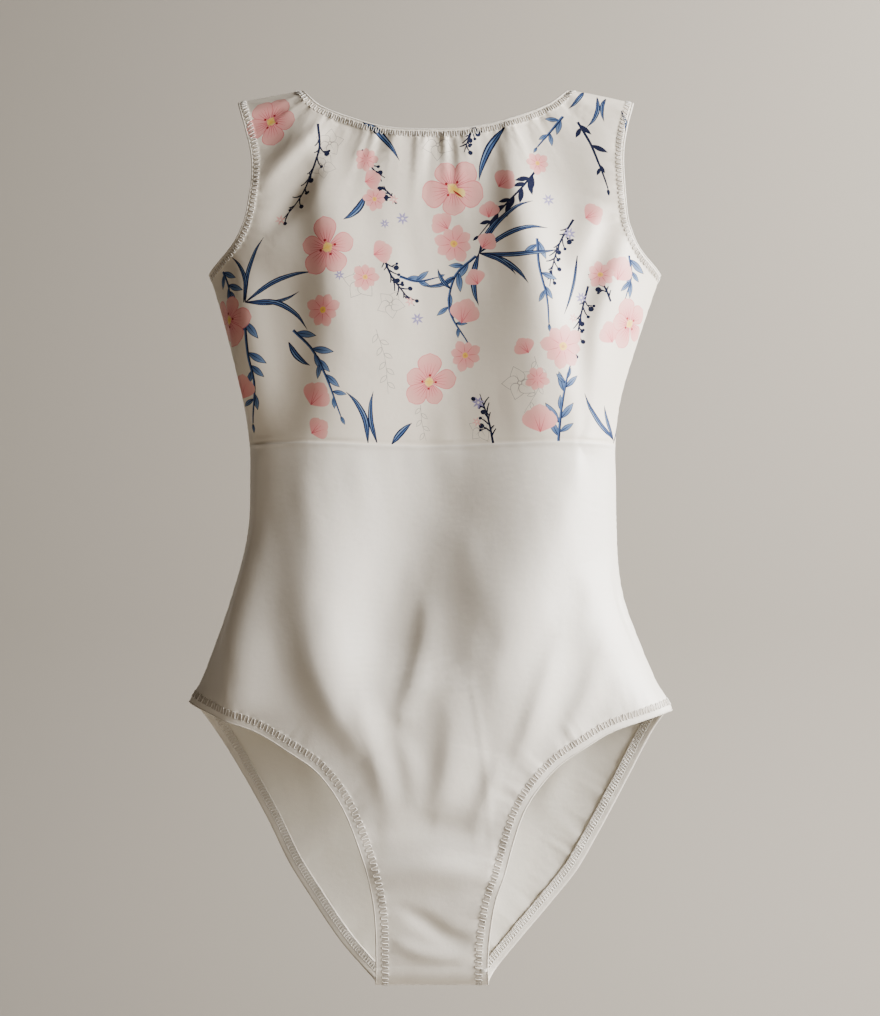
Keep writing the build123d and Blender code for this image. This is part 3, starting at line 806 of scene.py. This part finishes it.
def seeds(polygon, gap, keep):
    """Points in a triangular grid inside an outline, at least keep from its edge."""
    low, high = polygon.min(axis=0), polygon.max(axis=0)
    points = []
    for k, t in enumerate(np.arange(low[1], high[1], gap * math.sqrt(3) / 2)):
        row = np.arange(low[0] + (k % 2) * gap / 2, high[0], gap)
        points.append(np.stack([row, np.full(len(row), t)], axis=1))
    points = np.concatenate(points)
    points = points[inside(polygon, points)]
    return points[nearest(closed(polygon), *points.T)[0] > keep]


def triangles(polygon, extra, shapes=()):
    """Triangles that fill an outline, cut along the shapes in it: places, faces, shape of each face."""
    points, edges, count = [extra], [], len(extra)
    for ring in (polygon, *(shape[0] for shape in shapes)):
        points.append(ring)
        edges += [(count + k, count + (k + 1) % len(ring)) for k in range(len(ring))]
        count += len(ring)
    out = delaunay_2d_cdt([Vector(p) for p in np.concatenate(points)], edges, [], 0, 1e-5, False)
    places, faces = np.array([tuple(c) for c in out[0]]), np.array(out[2])
    middle = places[faces].mean(axis=1)
    faces = faces[inside(polygon, middle)]
    used, faces = np.unique(faces, return_inverse=True)
    places, faces = places[used], faces.reshape(-1, 3)
    middle = places[faces].mean(axis=1)
    order = np.argsort(middle[:, 0])
    across = middle[order, 0]
    owner = np.full(len(faces), -1)
    for k, shape in enumerate(shapes):
        low, high = np.searchsorted(across, (shape[0][:, 0].min(), shape[0][:, 0].max()))
        near = order[low:high]
        near = near[(middle[near, 1] > shape[0][:, 1].min()) & (middle[near, 1] < shape[0][:, 1].max())]
        owner[near[inside(shape[0], middle[near])]] = k
    return places, faces, owner


def write_mesh(name, places, faces, materials, face_material=None, ink=None, normals=None, fabric=None):
    """Blender object from places in millimetres.

    ink is the print's colour at each face corner. fabric gives each point its coordinates s and t for
    the materials, and on panels its position across the nearest row of stitches.
    """
    mesh = bpy.data.meshes.new(name)
    mesh.from_pydata((np.asarray(places) * MM).tolist(), [], [list(map(int, f)) for f in faces])
    for material in materials:
        mesh.materials.append(material)
    if face_material is not None:
        mesh.polygons.foreach_set("material_index", np.asarray(face_material, dtype=np.int32))
    mesh.polygons.foreach_set("use_smooth", np.ones(len(mesh.polygons), bool))
    if ink is not None:
        layer = mesh.color_attributes.new("ink", "FLOAT_COLOR", "CORNER")
        colour = np.concatenate([ink, np.ones((len(ink), 1))], axis=1)
        layer.data.foreach_set("color", colour.astype(np.float32).ravel())
    if fabric is not None:
        layer = mesh.attributes.new("fabric", "FLOAT_VECTOR", "POINT")
        fabric = np.pad(fabric, ((0, 0), (0, 3 - fabric.shape[1])))
        layer.data.foreach_set("vector", fabric.astype(np.float32).ravel())
    mesh.update()
    if normals is not None:
        mesh.normals_split_custom_set_from_vertices(np.asarray(normals).tolist())
    obj = bpy.data.objects.new(name, mesh)
    bpy.context.scene.collection.objects.link(obj)
    return obj


def shell(name, places, normals, faces, thickness, materials, fabric, ink=None):
    """Closed sheet: outer faces, the same faces again inside, and the strip round the edge."""
    count = len(places)
    edges = np.concatenate([faces[:, [0, 1]], faces[:, [1, 2]], faces[:, [2, 0]]])
    code = edges[:, 0] * count + edges[:, 1]
    back = edges[:, 1] * count + edges[:, 0]
    rim = edges[~np.isin(code, back)]
    quads = np.stack([rim[:, 1], rim[:, 0], rim[:, 0] + count, rim[:, 1] + count], axis=1)
    all_faces = [*faces.tolist(), *(faces[:, ::-1] + count).tolist(), *quads.tolist()]
    which = np.concatenate([np.zeros(len(faces)), np.ones(len(faces)), np.zeros(len(quads))])
    if ink is not None:
        rest = np.ones((3 * len(faces) + 4 * len(quads), 3))
        ink = np.concatenate([ink, rest])
    return write_mesh(name, np.concatenate([places, places - normals * thickness]), all_faces, materials,
                      which, ink, np.concatenate([normals, -normals]), np.concatenate([fabric, fabric]))


# which side of each line the cloth lies on, seen along the line
INWARD = {"neck": 1, "arm-1": -1, "arm1": 1, "leg-1": -1, "leg1": 1, "waist": -1}


def on_line(side, line, inward, run, e):
    """Fabric points at a length along a line and a distance to its side."""
    d = np.gradient(line, axis=0)
    d /= np.hypot(*d.T)[:, None]
    n = inward * np.stack([d[:, 1], -d[:, 0]], axis=1)
    at = length_along(line)
    s = np.interp(run, at, line[:, 0]) + e * np.interp(run, at, n[:, 0])
    t = np.interp(run, at, line[:, 1]) + e * np.interp(run, at, n[:, 1])
    t = np.clip(t, -TUBE[side].length, 0)
    reach = TUBE[side].arcs(t)[:, -1]
    return np.clip(s, -reach, reach), t


def length_of(line):
    """Whole length of a line in fabric coordinates."""
    return float(np.hypot(*np.diff(line, axis=0).T).sum())


def covered(faces, places):
    """Area of triangles in fabric coordinates, in square metres."""
    a, b, c = (places[faces[:, k]] for k in range(3))
    return float(0.5 * np.abs((b - a)[:, 0] * (c - a)[:, 1] - (b - a)[:, 1] * (c - a)[:, 0]).sum() * MM * MM)


def join(piece, slot, *nodes):
    """The piece belongs to the garment and stands for these CAD nodes."""
    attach(piece, "root")
    if nodes:
        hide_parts(*nodes)
    return piece


def inks(places, faces, owner, shapes):
    """Colour of each face corner, from the topmost shape drawn there."""
    corner = places[faces]
    ink = np.ones((len(faces), 3, 3))
    for k, (_, inner, outer, centre, radius) in enumerate(shapes):
        mine = owner == k
        if mine.any():
            far = np.hypot(corner[mine, :, 0] - centre[0], corner[mine, :, 1] - centre[1]) / radius
            f = np.clip(far, 0, 1)[..., None] ** 1.5
            ink[mine] = np.array(inner) * (1 - f) + np.array(outer) * f
    return ink


# each kind of opening: how wide its hem is; its stitches' pitch, nearest and farthest distance from the edge
HEM_WIDTH = {"neck": 5.6, "arm": 5.6, "leg": 9.0}
STITCH = {"neck": (3.2, 1.4, 5.1), "arm": (3.2, 1.5, 5.1), "leg": (4.4, 3.9, 8.7)}


def kind(key):
    """The kind of opening that an edge belongs to."""
    return key.rstrip("-1")


def stitched(side, keys, places):
    """Place of each point across the nearest row of stitches: 0 at its outer side, 1 at its inner side."""
    outside = 4.0
    across = np.full(len(places), outside)
    for key in keys:
        if key != "waist":
            _, low, high = STITCH[kind(key)]
            far, _ = nearest(EDGES[side][key], places[:, 0], places[:, 1], 16)
            here = np.minimum((far - low) / (high - low), outside)
            across = np.where(np.abs(here - 0.5) < np.abs(across - 0.5), here, across)
    return across


# distances from a line at which a panel has rows of points, and from where its even grid begins
SEAM_ROWS = (0.9, 2.2), 3.4
HEM_ROWS = (1.0, 2.6, 4.2, 5.4, 6.8), 8.2


def panel(node, side, part, materials, slot, shapes=()):
    """One outer panel of cloth, fine along its hems and its waist seam."""
    polygon = outline(side, part)
    keys = ("neck", "arm-1", "arm1", "waist") if part == "bodice" else ("waist", "leg-1", "leg1")
    rows = []
    grid = seeds(polygon, 2.7, 1.3)
    for key in keys:
        line = EDGES[side][key]
        inward = -INWARD[key] if (key, part) == ("waist", "lower") else INWARD[key]
        distances, clear = SEAM_ROWS if key == "waist" else HEM_ROWS
        for e in distances:
            s, t = on_line(side, line, inward, np.arange(1.2, length_of(line), 2.4), e)
            rows.append(np.stack([s, t], axis=1))
        grid = grid[nearest(line, *grid.T)[0] > clear]
    rows = np.concatenate(rows)
    rows = rows[inside(polygon, rows)]
    rows = rows[nearest(closed(polygon), *rows.T)[0] > 0.5]
    places, faces, owner = triangles(polygon, np.concatenate([rows, grid]), shapes)
    nudge = 0.02 if part == "bodice" else -0.02  # keeps the panels apart at the waist seam
    p, n = cloth_frame(side, places[:, 0], places[:, 1] + nudge)
    ink = inks(places, faces, owner, shapes) if shapes else None
    if side == BACK:
        faces = faces[:, ::-1]
        ink = ink[:, ::-1] if shapes else None
    if ink is not None:
        ink = ink.reshape(-1, 3)
    fabric = np.column_stack([places, stitched(side, keys, places)])
    piece = shell(node + "_cloth", p, n, faces, FABRIC, materials, fabric, ink)
    join(piece, slot, node)
    return piece, np.ptp(polygon, axis=0) * MM, covered(faces, places)


def inset(polygon, amount):
    """A closed anticlockwise outline moved inward."""
    d = np.roll(polygon, -1, axis=0) - np.roll(polygon, 1, axis=0)
    d /= np.maximum(np.hypot(*d.T), 1e-6)[:, None]
    moved = polygon + amount * np.stack([-d[:, 1], d[:, 0]], axis=1)
    return moved[nearest(closed(polygon), *moved.T)[0] > amount - 0.2]


def under_layer(node, polygon):
    """A thin lining that lies against the inside of the front."""
    places, faces, _ = triangles(polygon, seeds(polygon, 4.0, 2.0))
    p, n = cloth_frame(FRONT, places[:, 0], places[:, 1])
    inner = p - n * LINING_DEPTH
    piece = shell(node + "_sheet", inner, n, faces, LINING_THICKNESS, [LINING, LINING], places)
    join(piece, "lining", node)
    return piece, np.ptp(polygon, axis=0) * MM, covered(faces, places)


def tapes(name, runs, section, gap, material):
    """A closed cross-section (distance into the cloth, depth) drawn along one or more lines."""
    verts, faces, fabric = [], [], []
    section = np.array(section, float)
    e, depth = section.T
    if (e * np.roll(depth, -1) - depth * np.roll(e, -1)).sum() < 0:
        section = section[::-1]
    count = 0
    for side, line, inward, start, end in runs:
        steps = max(int((end - start) / gap), 2)
        run = np.linspace(start, end, steps + 1)
        s, t = on_line(side, line, inward, np.repeat(run, len(section)), np.tile(section[:, 0], steps + 1))
        p, n = cloth_frame(side, s, t)
        verts.append(p - n * np.tile(section[:, 1], steps + 1)[:, None])
        fabric.append(np.stack([s, t], axis=1))
        m = len(section)
        outward = (side == BACK) != (inward > 0)
        for i in range(steps):
            for j in range(m):
                a, b = count + i * m + j, count + i * m + (j + 1) % m
                quad = (a, b, b + m, a + m)
                faces.append(quad if outward else quad[::-1])
        ends = list(range(count, count + m)), list(range(count + steps * m, count + (steps + 1) * m))
        faces.append(ends[0][::-1] if outward else ends[0])
        faces.append(ends[1] if outward else ends[1][::-1])
        count += m * (steps + 1)
    return write_mesh(name, np.concatenate(verts), faces, [material], fabric=np.concatenate(fabric))


def threads(name, paths, radius, material):
    """Thin tubes; each path is (side, s, t, depth) with the depth measured into the cloth."""
    sides = 5
    verts, faces, fabric = [], [], []
    count = 0
    for side, s, t, depth in paths:
        p, n = cloth_frame(side, s, t)
        p = p - n * np.asarray(depth)[:, None]
        d = np.gradient(p, axis=0)
        d /= np.linalg.norm(d, axis=1)[:, None] + 1e-9
        b = np.cross(d, n)
        b /= np.linalg.norm(b, axis=1)[:, None] + 1e-9
        up = np.cross(b, d)
        a = (np.arange(sides) * 2 * np.pi / sides)[None, :, None]
        ring = p[:, None] + radius * (np.cos(a) * up[:, None] + np.sin(a) * b[:, None])
        verts.append(ring.reshape(-1, 3))
        fabric.append(np.repeat(np.stack([s, t], axis=1), sides, axis=0))
        i, j = np.meshgrid(np.arange(len(p) - 1), np.arange(sides), indexing="ij")
        k = (j + 1) % sides
        quads = np.stack([i * sides + j, i * sides + k, (i + 1) * sides + k, (i + 1) * sides + j], axis=-1)
        faces += (quads.reshape(-1, 4) + count).tolist()
        faces += [list(range(count + sides - 1, count - 1, -1)),
                  list(range(count + (len(p) - 1) * sides, count + len(p) * sides))]
        count += len(p) * sides
    return write_mesh(name, np.concatenate(verts), faces, [material], fabric=np.concatenate(fabric))


def zigzag(side, line, inward, start, end, pitch, low, high, depth, seed, square=0.34):
    """Path of one thread that runs back and forth across a hem; square says how upright its stitches are."""
    periods = int((end - start) / pitch)
    k = np.arange(periods)[:, None]
    phase = np.array([0, 0.06, 0.5 - square, 0.5, 0.56, 1 - square])
    e = np.array([low + 0.25, low + 0.6, high - 0.4, high, high - 0.5, low + 0.4])
    sag = np.array([0.12, 0, 0, 0.12, 0, 0])
    run = (start + (k + phase) * pitch).ravel()
    e = np.tile(e, periods) + 0.18 * wave(run, 2.1, seed) + 0.12 * wave(run, 0.9, seed + 3)
    run = run + 0.10 * wave(run, 3.0, seed + 5)
    s, t = on_line(side, line, inward, run, e)
    return side, s, t, depth + np.tile(sag, periods)


def lengthwise(side, line, inward, start, end, e, depth, pitch, sway=0.3):
    """Path of one looping thread that runs along a hem."""
    run = np.arange(start, end, pitch / 4)
    s, t = on_line(side, line, inward, run, e + sway * np.sin(run * 2 * np.pi / pitch))
    return side, s, t, depth + 0.08 * np.cos(run * 4 * np.pi / pitch)


# ================================================================= materials
class Nodes:
    """A material's nodes, built in order."""

    def __init__(self, name, base, roughness, sheen, specular):
        self.material = bpy.data.materials.new(name)
        self.material.use_nodes = True
        self.tree = self.material.node_tree
        self.shader = self.tree.nodes["Principled BSDF"]
        self.shader.inputs["Base Color"].default_value = (*base, 1)
        self.shader.inputs["Roughness"].default_value = roughness
        self.shader.inputs["Sheen Weight"].default_value = sheen
        self.shader.inputs["Sheen Roughness"].default_value = 0.35
        self.shader.inputs["Specular IOR Level"].default_value = specular

    def add(self, kind, inputs=(), **settings):
        node = self.tree.nodes.new(kind)
        for key, value in settings.items():
            setattr(node, key, value)
        for key, value in dict(inputs).items():
            if isinstance(value, bpy.types.NodeSocket):
                self.tree.links.new(value, node.inputs[key])
            else:
                node.inputs[key].default_value = value
        return node

    def math(self, operation, a, b=0.0, c=0.0):
        return self.add("ShaderNodeMath", {0: a, 1: b, 2: c}, operation=operation).outputs[0]

    def fabric(self):
        """The cloth's own coordinates, then s, t and the place across a row of stitches one by one."""
        at = self.add("ShaderNodeAttribute", attribute_name="fabric")
        split = self.add("ShaderNodeSeparateXYZ", {0: at.outputs["Vector"]})
        return at.outputs["Vector"], split.outputs[0], split.outputs[1], split.outputs[2]

    def mix(self, kind, factor, a, b):
        node = self.add("ShaderNodeMix", data_type="RGBA", blend_type=kind)
        for socket, value in ((node.inputs[0], factor), (node.inputs[6], a), (node.inputs[7], b)):
            if isinstance(value, bpy.types.NodeSocket):
                self.tree.links.new(value, socket)
            else:
                socket.default_value = value
        return node.outputs[2]

    def bump(self, height, strength, distance):
        node = self.add("ShaderNodeBump", {"Strength": strength, "Distance": distance, "Height": height})
        self.link(node.outputs[0], "Normal")

    def link(self, value, socket):
        self.tree.links.new(value, self.shader.inputs[socket])

    def noise(self, vector, scale, detail):
        node = self.add("ShaderNodeTexNoise", {"Vector": vector, "Scale": scale, "Detail": detail})
        return node.outputs["Fac"]


# the first colour tints the cloth at random; the second is painted shade for the ground between a row's
# stitches
YELLOWED, PAINTED_SHADE = (1, 0.97, 0.93), (0.62, 0.59, 0.56, 1)


def knit(name, base, roughness, sheen, specular, wale, strength, printed=False):
    """Stretch knit: columns of small loops as wide as the wale, a soft variation of tone and gloss, painted
    shade between stitches.
    """
    m = Nodes(name, base, roughness, sheen, specular)
    at, s, t, across = m.fabric()
    column = m.math("SINE", m.math("MULTIPLY", s, 2 * math.pi / wale))
    lean = m.math("ABSOLUTE", column)
    bowed = m.math("MULTIPLY", lean, 1.9)
    course = m.math("SINE", m.math("MULTIPLY_ADD", t, 2 * math.pi / (wale * 0.8), bowed))
    loops = m.math("MULTIPLY", m.math("MULTIPLY_ADD", course, 0.35, lean), 0.4)
    cloudy = m.noise(at, 0.045, 3)
    fine = m.noise(at, 0.9, 2)
    crumple = m.math("MULTIPLY_ADD", m.noise(at, 0.22, 3), 3.0, loops)
    m.bump(m.math("MULTIPLY_ADD", fine, 0.6, crumple), strength, 0.00012)
    tinted = [b * c for b, c in zip(base, YELLOWED)]
    shade = m.mix("MIX", m.math("MULTIPLY", cloudy, 0.5), (*base, 1), (*tinted, 1))
    if printed:
        ink = m.add("ShaderNodeAttribute", attribute_name="ink")
        worn = m.mix("MIX", m.math("MULTIPLY", fine, 0.03), ink.outputs["Color"], (1, 1, 1, 1))
        shade = m.mix("MULTIPLY", 1.0, shade, worn)
        # dark ink takes the satin's gloss away
        bare = m.add("ShaderNodeRGBToBW", {0: ink.outputs["Color"]}).outputs[0]
        m.link(m.math("MULTIPLY", bare, specular), "Specular IOR Level")
    # painted shadow: the ground between a row's stitches is darkened in colour, as if in their shadow
    middle = m.math("ABSOLUTE", m.math("SUBTRACT", across, 0.5))
    within = m.math("MAXIMUM", m.math("SUBTRACT", 0.52, middle), 0.0)
    painted_shadow = m.math("MULTIPLY", m.math("MINIMUM", within, 0.1), 10.0)
    shade = m.mix("MULTIPLY", painted_shadow, shade, PAINTED_SHADE)
    m.link(shade, "Base Color")
    m.link(m.math("MULTIPLY_ADD", fine, 0.10, roughness - 0.05), "Roughness")
    return m.material


def tape_material(name, base, roughness, pitch, strength):
    """Woven elastic: ribs across the tape."""
    m = Nodes(name, base, roughness, 0.15, 0.35)
    at, s, t, _ = m.fabric()
    ribs = m.math("SINE", m.math("MULTIPLY", m.math("ADD", s, t), 2 * math.pi / pitch))
    fine = m.noise(at, 1.7, 2)
    m.bump(m.math("MULTIPLY_ADD", fine, 0.8, ribs), strength, 0.0002)
    m.link(m.mix("MIX", fine, (*base, 1), (*(b * 0.9 for b in base), 1)), "Base Color")
    return m.material


def thread_material(name, base):
    """Textured sewing thread with a fine twist."""
    m = Nodes(name, base, 0.5, 0.25, 0.4)
    at, s, t, _ = m.fabric()
    twist = m.math("SINE", m.math("MULTIPLY", m.math("MULTIPLY_ADD", s, 0.6, t), 2 * math.pi / 0.45))
    fine = m.noise(at, 2.2, 2)
    m.bump(m.math("MULTIPLY_ADD", fine, 0.7, twist), 0.4, 0.0001)
    m.link(m.mix("MIX", fine, (*base, 1), (*(b * 0.86 for b in base), 1)), "Base Color")
    return m.material


IVORY = (0.80, 0.757, 0.685)
SATIN_PRINT = knit("printed satin", (0.79, 0.725, 0.625), 0.42, 0.02, 0.5, 0.62, 0.34, printed=True)
SATIN = knit("plain satin", IVORY, 0.40, 0.10, 0.7, 0.62, 0.34)
# the wrong side's colour is a little darker than the face's: painted shade for the insides seen through the
# leg openings
INSIDE = knit("wrong side", (0.77, 0.735, 0.655), 0.72, 0.2, 0.25, 0.7, 0.35)
LINING = knit("lining", (0.68, 0.64, 0.57), 0.8, 0.15, 0.2, 0.9, 0.4)
HEM = knit("turned hem", (0.75, 0.71, 0.64), 0.6, 0.15, 0.3, 1.6, 0.9)
ELASTIC = tape_material("elastic", (0.66, 0.62, 0.56), 0.7, 0.9, 0.6)
THREAD = thread_material("thread", (0.82, 0.79, 0.73))
THREAD_INSIDE = thread_material("inside thread", (0.62, 0.58, 0.52))

# ================================================================= panels
PRINTED, PRINTED_SLOT = [SATIN_PRINT, INSIDE], "printed_lycra"
WHITE, PLAIN_SLOT = [SATIN, INSIDE], "plain_lycra"
back_print = floral(BACK, -1, -6)
CLOTH = {
    "front_bodice": panel("front_bodice", FRONT, "bodice", PRINTED, PRINTED_SLOT, floral(FRONT)),
    "back_bodice": panel("back_bodice", BACK, "bodice", PRINTED, PRINTED_SLOT, back_print),
    "front_lower": panel("front_lower", FRONT, "lower", WHITE, PLAIN_SLOT),
    "back_lower": panel("back_lower", BACK, "lower", WHITE, PLAIN_SLOT),
}
INSET = 3.0  # how far the linings stay inside the garment's edges
GUSSET_TOP = -545
CLOTH["front_lining"] = under_layer("front_lining", inset(outline(FRONT, "bodice"), INSET))
legs = []
for hand in (-1, 1):
    edge = EDGES[FRONT][f"leg{hand}"]
    run = np.arange(0, length_of(edge), OUTLINE_GAP)
    leg = np.stack(on_line(FRONT, edge, hand, run, INSET), axis=1)
    legs.append(leg[leg[:, 1] < GUSSET_TOP])
top_edge = even(np.array([legs[1][0], legs[0][0]]), OUTLINE_GAP)[:-1]
low_edge = even(np.array([legs[0][-1], legs[1][-1]]), OUTLINE_GAP)[1:-1]
gusset = np.concatenate([top_edge, legs[0], low_edge, legs[1][::-1]])
CLOTH["gusset_lining"] = under_layer("gusset_lining", gusset)

# ================================================================= hems
HEM_DEPTH = 1.5
STITCH_RADIUS, OVERLOCK_RADIUS = 0.29, 0.17


def hem_section(width):
    """Cross-section of the turned edge: rolled over the rim, then flat inside the cloth."""
    return ((0.6, -0.06), (0.4, -0.17), (0.0, -0.19), (-0.36, 0.04), (-0.54, 0.42), (-0.54, 0.92),
            (-0.22, 1.36), (0.6, 1.62), (width / 2, HEM_DEPTH + 0.18), (width - 0.5, HEM_DEPTH + 0.15),
            (width, HEM_DEPTH), (width - 0.1, 1.3), (width - 0.6, 1.26), (width / 2, 1.3), (0.8, 1.25),
            (0.2, 1.02), (-0.14, 0.75), (-0.14, 0.35), (0.0, 0.02), (0.4, -0.02))


def flat_section(near, far, depth, thickness):
    """Cross-section of a flat tape with rounded edges."""
    centre, low, half, high = (near + far) / 2, depth, depth + thickness / 2, depth + thickness
    return ((near, half), (near + 0.15, low + 0.05), (near + 0.5, low), (centre, low), (far - 0.5, low),
            (far - 0.15, low + 0.05), (far, half), (far - 0.15, high - 0.05), (far - 0.5, high),
            (centre, high), (near + 0.5, high), (near + 0.15, high - 0.05))


def hem(opening, node, key, slot):
    """Turned edge, elastic and stitching round one opening."""
    width = HEM_WIDTH[kind(key)]
    pitch, low, high = STITCH[kind(key)]
    lines = [(side, EDGES[side][key], INWARD[key]) for side in (FRONT, BACK)]
    runs = [(*line, 0, length_of(line[1])) for line in lines]
    edge = join(tapes(f"{opening}_hem", runs, hem_section(width), 1.3, HEM), slot)
    tape = flat_section(0.9, width - 0.9, 0.76, 0.42)
    band = join(tapes(f"{opening}_elastic_tape", runs, tape, 1.6, ELASTIC), "elastic", node)
    sewn = [(*line, 0.6, length_of(line[1]) - 0.6) for line in lines]
    # the stitches' unevenness differs in front and behind
    paths = [zigzag(*run, pitch, low, high, -0.17, 2 + run[0]) for run in sewn]
    if kind(key) == "leg":
        # these hems show their inside, where the looping threads run
        under = HEM_DEPTH + 0.30
        paths += [zigzag(*run, pitch / 2, low - 0.3, high + 0.1, under, 7 + run[0], 0.12) for run in sewn]
        for e in (low - 0.4, high - 0.3):
            paths += [lengthwise(*run, e, under - 0.1, pitch / 2) for run in sewn]
    if opening == "leg_left":
        # bartack across the hem
        length = length_of(lines[0][1])
        paths.append(zigzag(*lines[0], length - 25, length - 22.6, 0.48, 0.5, 5.0, -0.34, 5))
    stitches = join(threads(f"{opening}_stitches", paths, STITCH_RADIUS, THREAD), "thread")
    return [edge, band, stitches]


HANDS = {"left": 1, "right": -1}
upper = hem("neck", "neck_elastic", "neck", PRINTED_SLOT)
lower = []
for label, hand in HANDS.items():
    upper += hem(f"armhole_{label}", f"armhole_elastic_{label}", f"arm{hand}", PRINTED_SLOT)
    lower += hem(f"leg_{label}", f"leg_elastic_{label}", f"leg{hand}", PLAIN_SLOT)

# ================================================================= seams: overlocked allowances inside
def seam(node, side, line, inward):
    """Folded allowance with its overlock stitching."""
    width, depth = 5.5, 0.78
    strip = (side, line, inward, 0.4, length_of(line) - 0.4)
    section = flat_section(0.15, width, depth, 0.75)
    tape = join(tapes(f"{node}_allowance", [strip], section, 1.8, INSIDE), "thread", node)
    paths = [zigzag(*strip, 2.0, 0.5, width + 0.1, depth + 0.88, 3, 0.15),
             lengthwise(*strip, width, depth + 0.85, 2.0),
             lengthwise(*strip, width * 0.45, depth + 0.9, 2.0, 0.1)]
    return [tape, join(threads(f"{node}_overlock", paths, OVERLOCK_RADIUS, THREAD_INSIDE), "thread")]


def cross_line(t, low, high):
    """Line across the cloth at one fabric height."""
    s = np.arange(low, high, 1.5)
    return np.stack([s, np.full(len(s), float(t))], axis=1)


behind = []
for label, hand in HANDS.items():
    arm, leg = EDGES[BACK][f"arm{hand}"][-1, 1], EDGES[BACK][f"leg{hand}"][0, 1]
    waist = EDGES[BACK]["waist"][0 if hand < 0 else -1, 1]
    behind += seam(f"side_seam_upper_{label}", BACK, seam_run(BACK, hand, arm - 6, waist + 2), hand)
    behind += seam(f"side_seam_lower_{label}", BACK, seam_run(BACK, hand, waist - 2, leg + 9), hand)
    low, high = sorted((hand * (SHOULDER_IN + 6.5), hand * (SHOULDER_OUT - 6)))
    behind += seam(f"shoulder_seam_{label}", BACK, cross_line(-0.4, low, high), 1)
behind += seam("crotch_seam", BACK, cross_line(0.4 - TUBE[BACK].length, -27, 27), -1)
for side, word in ((FRONT, "front"), (BACK, "back")):
    behind += seam(f"waist_seam_{word}", side, EDGES[side]["waist"], INWARD["waist"])

# ================================================================= stage, light, camera
# metres: a paper floor that bends up into a wall behind the garment
FLOOR, WALL, BEND = -0.95, 1.25, 0.5
turn = np.linspace(0, math.pi / 2, 24)
bend = [(WALL - BEND + BEND * math.sin(a), FLOOR + BEND - BEND * math.cos(a)) for a in turn]
profile = [(-3.0, FLOOR), *bend, (WALL, 2.2)]
places = [(x / MM, y / MM, z / MM) for y, z in profile for x in (-4.0, 4.0)]
faces = [(2 * k, 2 * k + 1, 2 * k + 3, 2 * k + 2) for k in range(len(profile) - 1)]
paper = Nodes("studio paper", (0.335, 0.307, 0.268), 0.9, 0.0, 0.2)
position = paper.add("ShaderNodeTexCoord").outputs["Object"]
paper.bump(paper.noise(position, 900.0, 2), 0.05, 0.0002)
studio = write_mesh("studio", places, faces, [paper.material])


def lamp(name, place, aim, size, energy, colour):
    """Soft rectangular light."""
    data = bpy.data.lights.new(name, "AREA")
    data.shape = "RECTANGLE"
    data.size, data.size_y = size
    data.energy = energy
    data.color = colour
    obj = bpy.data.objects.new(name, data)
    obj.location = place
    obj.rotation_euler = (Vector(aim) - Vector(place)).to_track_quat("-Z", "Y").to_euler()
    bpy.context.scene.collection.objects.link(obj)


CENTRE = (0.0, 0.0, -0.31)
lamp("key", (1.52, -0.47, 0.12), CENTRE, (0.8, 0.9), 134, (1.0, 0.98, 0.95))
lamp("fill", (-0.6, -2.0, -0.2), CENTRE, (1.0, 1.2), 2.6, (1.0, 0.81, 0.62))
lamp("back", (1.25, 1.0, 0.5), CENTRE, (0.6, 0.6), 8, (1.0, 0.97, 0.92))
lamp("wall", (1.3, 0.5, 0.9), (0.8, 1.25, -0.3), (1.0, 0.5), 24, (1.0, 0.97, 0.92))

world = bpy.data.worlds.new("studio")
world.use_nodes = True
world.node_tree.nodes["Background"].inputs["Color"].default_value = (1.0, 0.87, 0.71, 1)
world.node_tree.nodes["Background"].inputs["Strength"].default_value = 0.048
bpy.context.scene.world = world

camera = bpy.data.cameras.new("camera")
camera.sensor_fit = "VERTICAL"
camera.sensor_height = 24
camera.lens = 40.5
view = bpy.data.objects.new("camera", camera)
view.location = (0.0035, -1.2, -0.291)
view.rotation_euler = (math.pi / 2, 0, 0)
bpy.context.scene.collection.objects.link(view)
bpy.context.scene.camera = view
